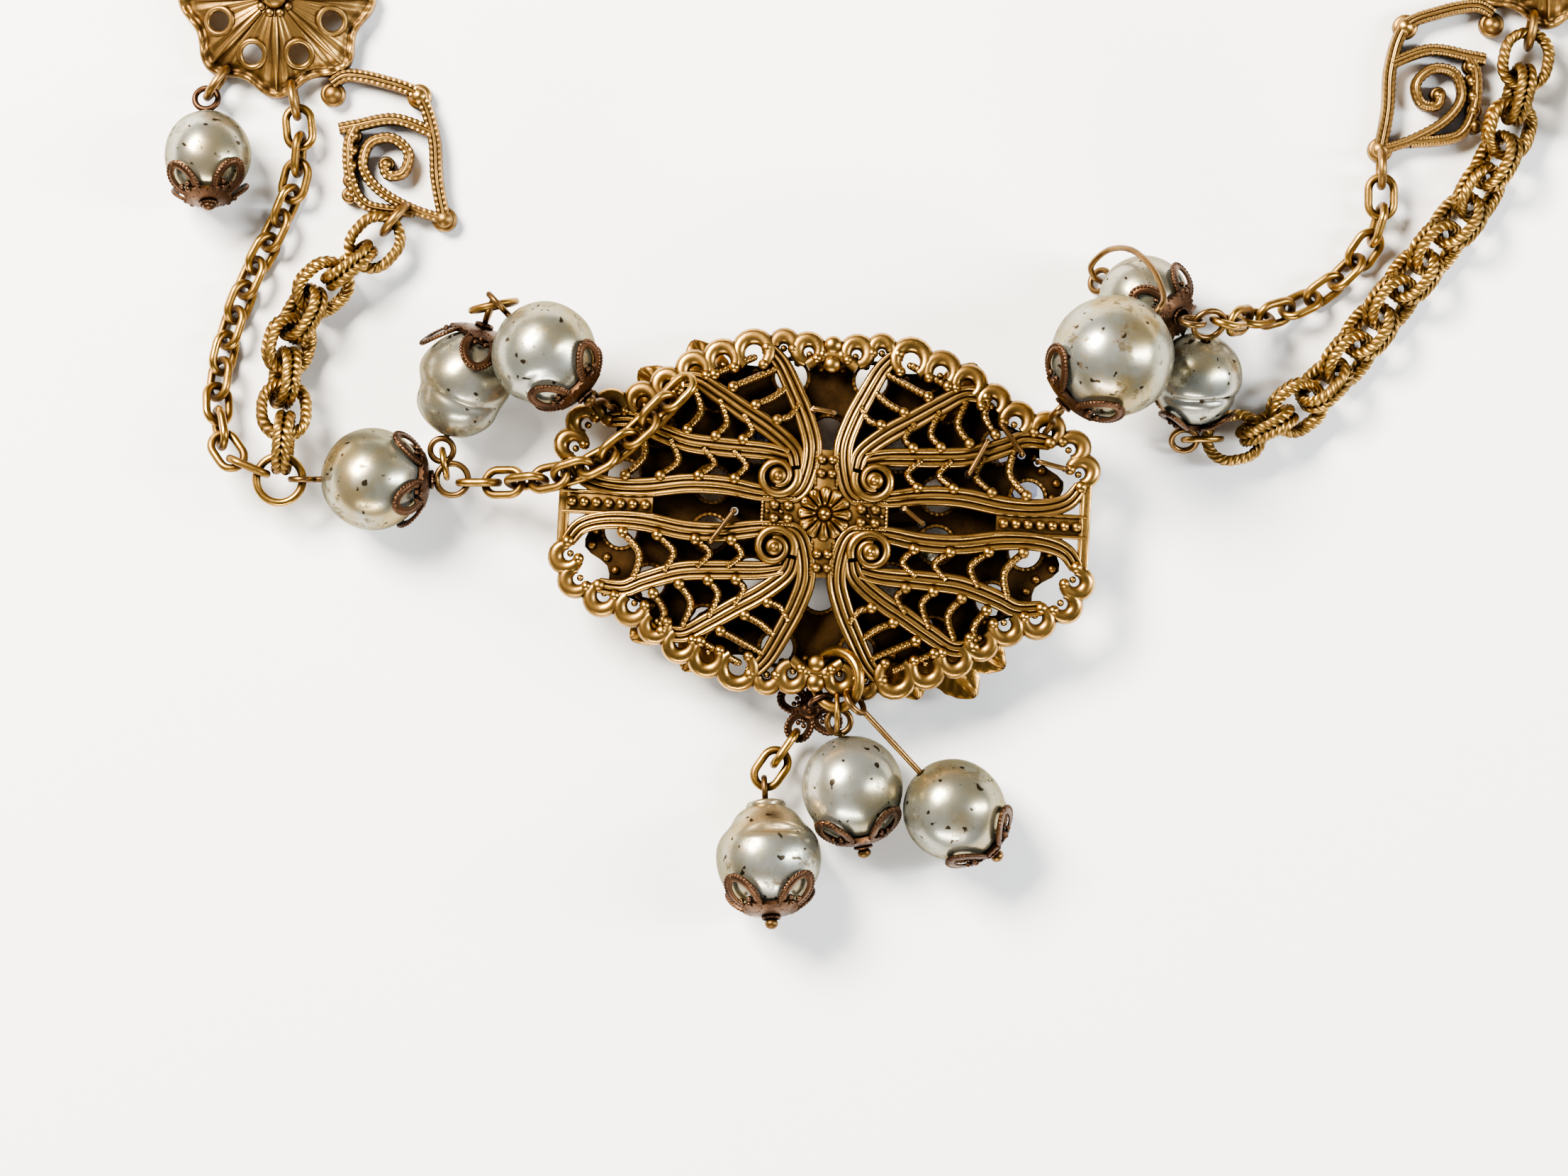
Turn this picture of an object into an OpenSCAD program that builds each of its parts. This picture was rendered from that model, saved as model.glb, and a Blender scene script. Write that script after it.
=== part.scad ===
// Baroque pearl necklace, lying face down with the back of its centrepiece up.
// An oval pierced back plate covers a cluster of leaves, stones and small pearls. Three
// capped baroque pearls on wire pins link it to a chain on each side, three more pearls
// hang from a ring at its lower edge, and a flower station on each side leads to the
// chain that runs round the neck to a plain hook and ring.

/* [Back plate] */
// Length of the oval back plate
plate_l = 50; // [48:0.5:52]
// Height of the oval back plate
plate_w = 33.5; // [32.5:0.5:34.5]
// Height of the back plate's middle above the table
crown_z = 8.3; // [8:0.1:8.6]
// Fall of the domed plate from its middle to its rim
crown_h = 1.5; // [1.2:0.1:1.8]
// Width of a double ridged stem
stem_w = 1.25; // [1:0.05:1.35]
// Thickness of the pressed sheet
sheet_t = 0.7; // [0.5:0.05:0.8]
// Height of the ridges over the sheet
ridge_h = 0.45; // [0.3:0.05:0.5]
// Turn of the plate seen from above
plate_turn = -3; // [-4:0.5:-2]

/* [Front cluster] */
// Thickness of the front plate
front_t = 0.9; // [0.7:0.1:1]
// Underside height of the front plate
front_z = 4.3; // [4.2:0.1:4.4]
// Length of a gilt leaf
leaf_l = 9; // [8:0.5:9.5]
// Width of a gilt leaf
leaf_w = 4.6; // [4:0.2:5]
// Girdle diameter of a blue stone
stone_d = 6; // [5:0.5:6.5]

/* [Pearls and caps] */
// Diameter of the drilled holes
bore_d = 1; // [0.9:0.05:1.1]
// Sides of a pearl's mesh
pearl_sides = 14; // [12:2:16]
// Wire of a cap's petal
petal_wire = 0.5; // [0.4:0.05:0.55]
// Wire of the pearls' pins
pin_wire = 0.6; // [0.5:0.05:0.65]
// Middle radius of a pin's eye
eye_r = 1.1; // [1:0.05:1.2]

/* [Chains] */
// Length of a fine link
fine_l = 4.6; // [4.4:0.1:4.7]
// Width of a fine link
fine_w = 3.2; // [3:0.1:3.3]
// Wire of a fine link
fine_wire = 0.8; // [0.7:0.05:0.85]
// Length of a heavy double link
heavy_l = 6.2; // [6:0.1:6.3]
// Width of a heavy double link
heavy_w = 5.2; // [5:0.1:5.3]
// Wire of a heavy double link
heavy_wire = 1; // [0.9:0.05:1.05]
// Distance between the two wires of a heavy link
heavy_gap = 0.85; // [0.75:0.05:0.9]

/* [Hidden] */
$fn = 48;
tiny = 0.01;
half_l = plate_l / 2;
half_w = plate_w / 2;
nominal = [50, 33.5];
grow = [plate_l / nominal.x, plate_w / nominal.y];
// Steps between links, and the heights of link middles on the table
fine_pitch = fine_l - 2 * fine_wire - 0.4;
heavy_pitch = heavy_l / 2 + 0.2;
fine_z = (fine_w - fine_wire) / 2 * sin(45) + fine_wire / 2;
heavy_z = ((heavy_w - heavy_wire) / 2 + heavy_gap / 2) * sin(45) + heavy_wire / 2;
// Middle of the whole necklace, which is moved to the origin
middle = [8.4, 41.465];

// Curves
function spline(a, b, c, d, t) =
    0.5 * (2 * b + (c - a) * t + (2 * a - 5 * b + 4 * c - d) * t * t
    + (3 * b - a - 3 * c + d) * t * t * t);
function smooth(p, k) = let (e = len(p) - 1) [
    for (i = [0:e - 1])
        for (j = [0:k - 1])
            spline(p[max(i - 1, 0)], p[i], p[i + 1], p[min(i + 2, e)], j / k),
    p[e]
];
function run(p) = [
    for (i = 0, s = 0; i < len(p); s = s + (i < len(p) - 1 ? norm(p[i + 1] - p[i]) : 0), i = i + 1) s
];
function place_on(p, r, s, i = 1) =
    (s <= r[i] || i == len(p) - 1)
        ? p[i - 1] + (p[i] - p[i - 1]) * (s - r[i - 1]) / (r[i] - r[i - 1])
        : place_on(p, r, s, i + 1);

// Moves
module aim(p, d) {
    translate(p)
        rotate([0, acos(d.z / norm(d)), atan2(d.y, d.x)])
            children();
}
module lay(p, d, roll) {
    translate(p)
        rotate([0, -asin(d.z / norm(d)), atan2(d.y, d.x)])
            rotate([roll, 0, 0])
                children();
}

// Rings and links
module ring(r, wire) {
    rotate_extrude()
        translate([r, 0])
            circle(d = wire);
}
module wire_section(wire, gap) {
    for (side = gap > 0 ? [-1, 1] : [0])
        translate([0, side * gap / 2])
            circle(d = wire);
}
module link(l, w, wire, gap = 0) {
    r = (w - wire) / 2;
    s = l - w;
    for (end = [-1, 1]) {
        translate([end * s / 2, 0, 0])
            rotate([0, 0, end > 0 ? -90 : 90])
                rotate_extrude(angle = 180)
                    translate([r, 0])
                        wire_section(wire, gap);
        translate([-s / 2, end * r, 0])
            rotate([90, 0, 90])
                linear_extrude(s)
                    wire_section(wire, gap);
    }
}
// A roll is a link's turn about the chain. It runs from the end rolls to 45 degrees over
// four links, and each link is turned by 90 degrees against the one before. The form gives
// a link's middle radius, half its gap, half its wire and half its straight part
function link_roll(i, n, ends) =
    let (first = floor(ends[0] / 90), last = (first + n) % 2, blend = min(4, n),
         a = ends[0] - 90 * first, b = ends[1] == 45 ? 45 : abs(ends[1] - 90 * last))
        45 + (a - 45) * max(0, 1 - i / blend) + (b - 45) * max(0, 1 - (n - i) / blend)
        + 90 * ((first + i) % 2);
function link_low(roll, form, slope) =
    form[0] * abs(sin(roll)) + form[1] * abs(cos(roll)) + form[2] + form[3] * slope + 0.06;
module chain(route, n, ends, form) {
    p = smooth(route, 6);
    r = run(p);
    total = r[len(r) - 1];
    step = total / n;
    for (i = [0:n]) {
        s = i * step;
        a = place_on(p, r, max(s - 0.8, 0));
        b = place_on(p, r, min(s + 0.8, total));
        m = place_on(p, r, s);
        d = (b - a) / norm(b - a);
        roll = link_roll(i, n, ends);
        lay([m.x, m.y, max(m.z, link_low(roll, form, abs(d.z)))], d, roll)
            children();
    }
}
function route_length(route) = let (p = smooth(route, 6), r = run(p)) r[len(r) - 1];
module fine_chain(route, ends = [45, 45]) {
    chain(route, round(route_length(route) / fine_pitch), ends,
        [(fine_w - fine_wire) / 2, 0, fine_wire / 2, 0.9])
        link(fine_l, fine_w, fine_wire);
}
module heavy_chain(route, ends = [45, 45]) {
    chain(route, round(route_length(route) / heavy_pitch), ends,
        [(heavy_w - heavy_wire) / 2, heavy_gap / 2, heavy_wire / 2, 0.9])
        link(heavy_l, heavy_w, heavy_wire, heavy_gap);
}
// Meshed bars: the section's points go round anticlockwise
function bar_faces(n, m) = [
    [for (j = [0:m - 1]) j],
    [for (j = [m - 1:-1:0]) (n - 1) * m + j],
    for (i = [0:n - 2])
        for (j = [0:m - 1])
            let (k = (j + 1) % m)
                [i * m + j, (i + 1) * m + j, (i + 1) * m + k, i * m + k]
];
function dome(p) = crown_z - crown_h * (pow(p.x / half_l, 2) + pow(p.y / half_w, 2));
module bar(line, section, lift = 0, start = 1) {
    n = len(line);
    points = [
        for (i = [0:n - 1])
            let (a = line[max(i - 1, 0)], b = line[min(i + 1, n - 1)], t = (b - a) / norm(b - a))
                for (q = section)
                    let (x = q.x * (i == 0 ? start : 1))
                        [line[i].x - t.y * x, line[i].y + t.x * x, dome(line[i]) + lift + q.y]
    ];
    polyhedron(points = points, faces = bar_faces(n, len(section)), convexity = 6);
}
function scaled(line) = [for (p = line) [p.x * grow.x, p.y * grow.y]];

// Sections of the plate's bars, across and up from the sheet's top
stem_section = [
    [-stem_w / 2, -sheet_t], [stem_w / 2, -sheet_t], [stem_w * 0.36, ridge_h], [0, 0.05],
    [-stem_w * 0.36, ridge_h]
];
hook_w = 0.75;
hook_section = [[-hook_w / 2, -sheet_t * 0.9], [hook_w / 2, -sheet_t * 0.9], [0, ridge_h * 0.8]];
curl_w = 1.15;
curl_section = [[-curl_w / 2, -sheet_t], [curl_w / 2, -sheet_t], [0, ridge_h]];

// Centre lines of the four stems of one quarter, out from the volute
stems = [
    [[4.6, 1.55], [6.5, 1.75], [9.5, 2.2], [13, 2.2], [17, 1.6], [20.4, 1.6], [22.8, 2.3], [24, 3.8]],
    [[3.7, 5.2], [5.7, 5.6], [9.9, 5.8], [13.3, 6.1], [16.7, 7.2], [18.6, 8], [20.9, 7.8]],
    [[2.8, 4.4], [3.3, 5.9], [5.6, 7.8], [8.1, 9.3], [10.5, 10.8], [12.7, 12], [14.7, 11.8]],
    [[4.6, 1.55], [2.7, 1.8], [1.8, 3.4], [1.45, 6.1], [2.15, 8.7], [3.35, 11.3], [4.75, 13.9], [6.2, 15.4]]
];
// Rim curls of one quarter: middle x, y, radius, first and last angle
curls = [
    [24, 5.2, 1.1, -90, 170], [23, 7.4, 1.1, -90, 150], [20.5, 8.9, 1.2, -60, 190],
    [17.6, 9.7, 1.2, -60, 190], [15.3, 11.3, 1.1, -60, 200], [12.9, 12.9, 1.2, -60, 200],
    [10.3, 14, 1.3, -50, 210], [7.4, 14.9, 1.5, -60, 230], [4.6, 15.7, 0.9, -10, 200],
    [2.3, 15.3, 1.1, -80, 220]
];
// Hooks of one quarter: ball x, y, then the bend x, y and the foot x, y
hooks = [
    [8.6, 2.9, 7.6, 4.2, 8.9, 5.5], [12, 3, 10.6, 4.2, 11.7, 5.6],
    [15.6, 2.8, 14, 4.3, 14.8, 6.2], [18.9, 2.7, 17.2, 4.6, 17.6, 7.1],
    [8, 6.6, 7.2, 7.5, 8.1, 9], [10.6, 6.8, 9.6, 8.1, 10.4, 10.3],
    [13.3, 7.3, 12.1, 9, 12.8, 11.3], [15.7, 8.3, 14.6, 9.9, 14.9, 11.3],
    [4.9, 8.6, 3.7, 9, 2.9, 10.2], [7, 9.9, 5.5, 10.6, 4.2, 11.6], [9.2, 11.5, 7.7, 12.2, 5.1, 13.5],
    [11, 12.6, 9.6, 13.3, 7.4, 14.4]
];
volute = [4.55, 3.35];
volute_r = 1.5;

module boss(p, r, h = 0.45) {
    translate([p.x * grow.x, p.y * grow.y, dome(p)])
        hull() {
            translate([0, 0, -0.15])
                cylinder(r = r, h = 0.15 + h * 0.35, $fn = 5);
            cylinder(r = r * 0.5, h = h, $fn = 5);
        }
}
module quarter() {
    for (s = stems)
        bar(smooth(scaled(s), 1), stem_section);
    for (c = curls)
        bar([
            for (k = [0:3])
                let (a = c[3] + (c[4] - c[3]) * k / 3)
                    [(c.x + c.z * cos(a)) * grow.x, (c.y + c.z * sin(a)) * grow.y]
        ], curl_section);
    for (h = hooks)
        bar(scaled([[h[0], h[1]], [h[2], h[3]], [h[4], h[5]]]), hook_section, 0, 1.8);
    bar([
        for (k = [0:10])
            let (a = 235 + k * 40, r = volute_r * (1 - k / 16))
                [volute.x * grow.x + r * cos(a), volute.y * grow.y + r * sin(a)]
    ], curl_section, 0.12);
    boss(volute, 0.8, 0.9);
}
panel = [5.9, 1.35];
spine = [1.1, 6];
rosette_r = 2.6;
petals = 12;
end_strip = [16.2, 0.95];
module strip(a, b, w, lift, pieces = 3) {
    bar([for (k = [0:pieces]) a + (b - a) * k / pieces],
        [[-w / 2, -sheet_t], [w / 2, -sheet_t], [w / 2, lift], [-w / 2, lift]]);
}
module back_plate() {
    color("darkgoldenrod")
        rotate([0, 0, plate_turn]) {
            for (mx = [0, 1])
                for (my = [0, 1])
                    mirror([mx, 0, 0])
                        mirror([0, my, 0])
                            quarter();
            strip([-panel.x, 0], [panel.x, 0], 2 * panel.y, 0.05);
            strip([0, -spine.y], [0, spine.y], 2 * spine.x, 0.1);
            for (k = [0:petals - 1])
                rotate([0, 0, k * 360 / petals])
                    translate([0, 0, crown_z])
                        hull() {
                            translate([0.75, 0, 0])
                                cylinder(r = 0.15, h = 0.3, $fn = 3);
                            translate([1.95, 0, 0])
                                cylinder(r = 0.46, h = 0.55, $fn = 4);
                        }
            translate([0, 0, crown_z - sheet_t])
                cylinder(r = rosette_r, h = sheet_t + 0.2, $fn = 12);
            boss([0, 0], 0.6, 0.8);
            for (side = [-1, 1]) {
                for (along = [3.75, 5])
                    for (up = [-0.55, 0.55]) {
                        boss([side * along, up], 0.5);
                        boss([up, side * along], 0.45);
                    }
                strip([side * end_strip.x, 0], [side * half_l, 0], 2 * end_strip.y, 0);
                strip([side * (half_l - 0.5), -4.2], [side * (half_l - 0.5), 4.2], 1, 0.2);
                for (k = [0:6])
                    boss([side * (16.9 + k * 1.15), 0], 0.48);
                boss([0, side * 15.9], 1);
                boss([0, side * 14.1], 0.95);
                bar([[-1.4, side * 14.6], [0, side * 15], [1.4, side * 14.6]], curl_section);
            }
        }
}

// Front plate: scalloped oval with two rows of holes
front_holes = [[16, 0.78, 1.5], [10, 0.45, 1.6]];
lobes = 22;
module front_plate() {
    color("goldenrod")
        translate([0, 0, front_z])
            linear_extrude(front_t)
                difference() {
                    rotate([0, 0, plate_turn])
                        polygon([
                            for (k = [0:lobes * 6 - 1])
                                let (a = k * 60 / lobes, e = 1 + 0.025 * cos(a * lobes))
                                    [(half_l - 2.2) * e * cos(a), (half_w - 2.1) * e * sin(a)]
                        ]);
                    rotate([0, 0, plate_turn])
                        for (row = front_holes)
                            for (k = [0:row.x - 1])
                                let (a = (k + 0.5) * 360 / row.x)
                                    translate([half_l * row.y * cos(a), half_w * row.y * sin(a)])
                                        circle(r = row.z);
                    for (s = staples)
                        for (q = s)
                            translate(q)
                                circle(d = binding_wire + 0.3);
                }
}

// Gilt leaves: tip x, y and the direction that the leaf points in
leaf_tips = [
    [-12.5, 16.6, 115], [-17.6, 13.8, 140], [-20, 11, 150], [-18.4, -11.9, 215], [-13.4, -14.9, 235],
    [14.4, 14.4, 60], [9, -17.6, -65], [14.4, -17.4, -50], [17.2, -14.6, -35]
];
function leaf_outline(l, w) = [
    for (k = [0:8]) let (t = k / 8) [-l * t, w / 2 * sin(180 * pow(t, 0.75))],
    for (k = [7:-1:1]) let (t = k / 8) [-l * t, -w / 2 * sin(180 * pow(t, 0.75))]
];
leaf_t = 0.7;
leaf_z = 3.4;
module leaf(spec) {
    translate([spec.x, spec.y, leaf_z])
        rotate([0, 0, spec.z])
            linear_extrude(leaf_t)
                polygon(leaf_outline(leaf_l, leaf_w));
}
module leaves_left() {
    color("goldenrod")
        for (s = leaf_tips)
            if (s.x < 0)
                leaf(s);
}
module leaves_right() {
    color("goldenrod")
        for (s = leaf_tips)
            if (s.x > 0)
                leaf(s);
}

// Blue stones, table down: eight sides, crown, girdle and pavilion
stone_places = [[17.5, 3], [-4.5, 9], [2, -4]];
stone_low = 0.2;
module blue_stone(i) {
    crown = stone_d * 0.18;
    color("midnightblue")
        translate([stone_places[i].x, stone_places[i].y, stone_low])
            rotate([0, 0, 22.5]) {
                cylinder(d1 = stone_d * 0.6, d2 = stone_d, h = crown, $fn = 8);
                translate([0, 0, crown])
                    cylinder(d = stone_d, h = 0.3, $fn = 8);
                translate([0, 0, crown + 0.3])
                    cylinder(d1 = stone_d, d2 = stone_d * 0.1, h = stone_d * 0.42, $fn = 8);
            }
}

// A pearl about its drilled hole. The shape table gives the radius, the stretch along the
// hole, a lump's size, its angle round the hole, a waist's depth and the waist's angle
// from the capped end
function pearl_r(s, t, a) =
    s[0] * (1 + s[2] * pow(sin(t), 2) * (1 - cos(t)) / 2 * cos(a - s[3])
    + 0.012 * sin(2 * t + 60) * sin(3 * a + s[3])
    - s[4] * exp(-pow((t - s[5]) / 15, 2)) * (0.65 + 0.35 * cos(a - s[3])));
module pearl(s, sides = pearl_sides, rows = 10) {
    first = asin(bore_d / 2 / s[0]);
    side_points = [
        for (k = [0:rows - 1])
            let (t = first + (180 - 2 * first) * k / (rows - 1))
                for (j = [0:sides - 1])
                    let (a = j * 360 / sides, end = k == 0 || k == rows - 1,
                         r = end ? bore_d / 2 : pearl_r(s, t, a) * sin(t))
                        [r * cos(a), r * sin(a), pearl_r(s, t, end ? 0 : a) * s[1] * cos(t)]
    ];
    faces = [
        for (k = [0:rows - 1])
            for (j = [0:sides - 1])
                let (k2 = (k + 1) % rows, j2 = (j + 1) % sides)
                    each [
                        [k * sides + j, k * sides + j2, k2 * sides + j2],
                        [k * sides + j, k2 * sides + j2, k2 * sides + j]
                    ]
    ];
    polyhedron(points = side_points, faces = faces, convexity = 4);
}
// Small pearls of the front cluster: x, y and radius
front_pearls = [[-14.2, 1.7, 2.1], [6.5, 9.4, 2.1], [-5, -9.5, 2.1], [11, -5, 2.1]];
module front_pearl(i) {
    q = front_pearls[i];
    color("ivory")
        translate([q.x, q.y, q.z])
            rotate([0, 0, 20 * i])
                pearl([q.z, 1, 0, 0, 0, 90], 10, 7);
}

// Binding wires: two ends of each staple over the plate
staples = [
    [[-10.7, -2.6], [-8.5, 0.3]], [[-1.1, 9.9], [0.9, 9.5]], [[7.48, 0.51], [9.2, -0.9]],
    [[13.64, 3.81], [15.35, 6.86]], [[22.7, 4.24], [20.2, 4.9]], [[18.65, 5.6], [16.63, 8.42]]
];
binding_wire = 0.5;
binding_foot = 4.1;
module binding_wires() {
    color("gold")
        for (s = staples) {
            a = [s[0].x, s[0].y, dome(s[0]) + 0.9];
            b = [s[1].x, s[1].y, dome(s[1]) + 0.9];
            across = cross(b - a, [0, 0, 1]);
            tail([[a.x, a.y, binding_foot], [a.x, a.y, a.z - 0.3], a + (b - a) * 0.08, b - (b - a) * 0.08,
                [b.x, b.y, b.z - 0.3], [b.x, b.y, binding_foot]], across, binding_wire, 6, 1);
        }
}

// Side pearls and drops: middle, direction of the capped end, the shape table, and the
// turn of the cap's petals
gems = [
    [[-42.7, 3.3, 4.9], [1, 0, 0], [4.85, 1, 0, 0, 0, 90], 31],
    [[-34, 12.3, 5.2], [0.33, 0.94, 0.15], [4.6, 1.12, 0.08, 30, 0.16, 105], 7],
    [[-26.2, 15, 11.15], [0.66, -0.7, 0.1], [4.95, 0.98, 0.03, 200, 0.03, 60], 45],
    [[26.8, 14.7, 13.6], [-0.7, -0.7, -0.1], [5.75, 1, 0.03, 40, 0.02, 120], 45],
    [[30.2, 20.2, 5.6], [0.646, -0.333, 0.6875], [4.25, 1.02, 0.02, 90, 0, 90], 5],
    [[35.2, 12.78, 6], [-0.14, -0.81, -0.57], [4.25, 1.02, 0.03, 0, 0.1, 80], 30],
    [[-5.3, -32.4, 5.1], [0.05, -0.965, 0.26], [5, 1.02, 0, 0, 0.13, 128], 45],
    [[2.6, -25.85, 5], [0.19, -0.98, -0.07], [4.8, 1.03, 0.02, 60, 0, 90], 45],
    [[12.3, -27.9, 5], [0.66, -0.715, -0.23], [4.8, 1.02, 0.02, 240, 0, 90], 45]
];
module on_gem(i) {
    aim(gems[i][0], gems[i][1])
        children();
}
module gem_pearl(i) {
    color("ivory")
        on_gem(i)
            pearl(gems[i][2]);
}
cap_t = 0.6;
cap_gap = 0.15;
petal_part = [0.9, 0.62];
petal_tilt = 41;
module cap_on(r, turn = 45) {
    foot = r + cap_gap;
    rim = 0.5 * r;
    difference() {
        intersection() {
            sphere(r = foot + cap_t);
            translate([0, 0, foot - 1])
                cylinder(r = rim, h = 3);
        }
        sphere(r = foot);
        translate([0, 0, foot - 1])
            cylinder(d = pin_wire + 0.3, h = 3);
    }
    for (a = [0:90:270])
        rotate([0, petal_tilt, a + turn])
            translate([0, 0, foot + 0.3])
                link(petal_part[0] * r, petal_part[1] * r, petal_wire);
}
module gem_cap(i) {
    color("saddlebrown")
        on_gem(i)
            cap_on(gems[i][2][0] * gems[i][2][1], gems[i][3]);
}
// Pins: how far each eye's middle stands out at the capped and the bare end, none where it
// is 0, the way that each eye faces, and its radius
pins = [
    [2.7, 1.8, [0, 0, 1], [0, 1, 0], 1.5, eye_r],
    [2.25, 1.5, [-0.94, 0.33, 0], [0, 0, 1], eye_r, eye_r],
    [0, 1.7, [0, 0, 1], [0.71, 0.67, 0], 0, eye_r],
    [0, 0, [0, 0, 1], [0, 0, 1], 0, 0],
    [2.25, 1.8, [0.113, 0.866, 0.313], [0, 0, 1], eye_r, eye_r],
    [2.7, 1.83, [0, -0.6, 0.8], [0.27, -0.606, 0.748], 1.2, 1.5],
    [0, 1.5, [0, 0, 1], [1, 0, 0], 0, eye_r],
    [0, 1.45, [0, 0, 1], [0, 0, 1], 0, eye_r],
    [0, 9.38, [0, 0, 1], [-0.716, -0.537, -0.383], 0, 1.2]
];
head = 1.35;
function eye_turn(d, n) =
    let (u = d / norm(d), th = acos(u.z), ph = atan2(u.y, u.x),
         x = [cos(th) * cos(ph), cos(th) * sin(ph), -sin(th)], y = [-sin(ph), cos(ph), 0])
        atan2(n * x, -n * y);
module gem_pin(i) {
    q = pins[i];
    reach = gems[i][2][0] * gems[i][2][1];
    color("peru")
        on_gem(i)
            for (end = [0, 1]) {
                out = q[end];
                loop_r = q[4 + end];
                turn = eye_turn(gems[i][1], q[2 + end]);
                mirror([0, 0, end]) {
                    cylinder(d = pin_wire, h = reach + (out > 0 ? out - loop_r : head));
                    if (out > 0)
                        translate([0, 0, reach + out])
                            rotate([90, 0, turn])
                                ring(loop_r, pin_wire);
                    else
                        translate([0, 0, reach + head])
                            sphere(d = 1.3);
                }
            }
}

// Wire tails that run on from a pin: the route, and the way that the tail's loop faces
module tail(route, facing, wire = pin_wire, sides = 6, fine = 2) {
    p = smooth(route, fine);
    n = len(p);
    points = [
        for (i = [0:n - 1])
            let (a = p[max(i - 1, 0)], b = p[min(i + 1, n - 1)], t = (b - a) / norm(b - a),
                 u0 = cross(t, facing), u = u0 / norm(u0), v = cross(t, u))
                for (j = [0:sides - 1])
                    p[i] + (u * cos(j * 360 / sides) + v * sin(j * 360 / sides)) * wire / 2
    ];
    polyhedron(points = points, faces = bar_faces(n, sides), convexity = 8);
}
// Turns of wire round the plate's rim curls, in the upright plane through direction o
function wrap(c, o, first, last, n = 8) = [
    for (k = [0:n])
        let (a = first + (last - first) * k / n)
            c + 1.38 * [o.x * cos(a), o.y * cos(a), sin(a)]
];
plate_tail_left = concat(
    [[-21.97, 10.5, 11.79], [-21.7, 10.4, 10.3], [-21.1, 10.6, 8.8]],
    wrap([-20.9, 10.7, 6.75], [-0.77, 0.64], 100, 400)
);
// Bore of pearl 4 at a distance from its middle towards its cap
function bore_4(t) = gems[3][0] + gems[3][1] * t / norm(gems[3][1]);
long_wire = concat(
    wrap([21.64, 8.76, 6.75], [0.6, 0.8], 400, 100),
    [[21.4, 8.8, 8.8], [21.2, 9, 11], bore_4(7.4), bore_4(6.4), bore_4(5), bore_4(-5), bore_4(-6.2)],
    [[31.7, 20.2, 13.6], [30.8, 23, 11.6], [28.8, 25.2, 8.5], [26.5, 25.3, 5], [25.2, 23.7, 3],
     [25.65, 22.6, 2.05], [26.24, 22.24, 1.38], [26.75, 21.98, 0.8]]
);
module pin_3() {
    gem_pin(2);
    color("peru")
        tail(plate_tail_left, [0.64, 0.77, 0], pin_wire, 6, 1);
}
module pin_4() {
    color("peru")
        tail(long_wire, [0.8, -0.6, 0], pin_wire, 6, 1);
}

// Ring through the plate's lower edge, and the rings that join eyes and chains:
// middle, the way the ring faces, middle radius and wire
drop_hook = [[1.2, -15.6, 7.2], [-0.62, 0, 0.79], 2.65, 1];
joins = [
    [[-51.5, 3.3, 4.9], [0, 0, 1], 2.2, 0.8],
    [[-35.9, 4.8, 4.65], [0.98, 0.16, 0], 1.36, 0.6],
    [[-31.07, 19.55, 8.3], [-0.2, 0.98, 0], 2.15, 0.7],
    [[1.2, -18.68, 6.62], [1, 0, 0], 1.74, 0.5],
    [[35.95, 7.15, 2.16], [-0.02, 1, 0], 1.8, 0.6]
];
module placed_ring(q) {
    aim(q[0], q[1])
        ring(q[2], q[3]);
}
module drop_ring() {
    color("darkgoldenrod")
        placed_ring(drop_hook);
}
// Small filigree flower on a wire eye under the ring, and the links down to pearl a
flower_at = [-1.35, -18.53, 3.4];
flower_eye = [-0.35, -17.6, 5.85];
flower_petal = [3.2, 2.8];
module drop_flower() {
    color("saddlebrown") {
        translate(flower_at)
            rotate([0, 0, 58]) {
                cylinder(r = 1, h = 0.6);
                for (a = [0:90:270])
                    rotate([0, 12, a])
                        translate([1.9, 0, 0.3])
                            link(flower_petal.x, flower_petal.y, petal_wire);
            }
        aim(flower_eye, [-0.35, 0.85, -0.39])
            ring(1.05, 0.5);
        tail([flower_at + [0, 0, 0.2], flower_at + [0.3, 0.25, 0.9], flower_eye - [0.35, 0.3, 0.95]],
            [0.5, -0.86, 0], 0.5, 6, 1);
    }
}
drop_links = [[-3.68, -22.15, 3.11], [-5.035, -24.08, 3.3]];
module joining_rings() {
    color("darkgoldenrod") {
        for (q = joins)
            placed_ring(q);
        fine_chain(drop_links, [90, 0]);
    }
}

// Chains: routes chosen along the table
plate_route = [
    [-13.8, 11.4, 9.6], [-17.2, 8, 9.6], [-20.9, 5.1, 9.2], [-24.6, 3.7, 8.4], [-28, 3.1, 6.8],
    [-30.2, 3, 5.7], [-32.65, 3, 4.9]
];
fine_left_route = [
    [-54.44, 4.54, 4.9], [-55.32, 4.96, 4.9], [-56.6, 6.3, 4.5], [-57.4, 9, 3.2], [-57.5, 12.5, 1.9],
    [-56.6, 17, fine_z], [-54.6, 22.4, fine_z], [-52.2, 27, 1.4], [-50.3, 31.6, 1.7],
    [-49.78, 35.6, 2.15], [-49.84, 36.74, 2.15]
];
fine_right_route = [
    [37.97, 18.05, 8.36], [39.4, 18.3, 5.7], [41.3, 18.7, 3.3], [43.8, 19.4, 1.8],
    [46.4, 20.6, fine_z], [48.9, 22.4, fine_z], [51, 24.6, 1.4], [52.4, 27, 1.9],
    [52.85, 29, 2.15], [52.9, 30.17, 2.15]
];
heavy_left_route = [
    [-51.13, 6.79, 4.9], [-51.06, 7.78, 4.85], [-51.15, 10.6, 3.9], [-51.1, 13.8, 2.9],
    [-50.5, 17, 2.5], [-48.5, 20.6, 2.5], [-45.5, 23.3, 2.55], [-43.6, 24.8, 2.58],
    [-42.63, 25.82, 2.58]
];
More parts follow.
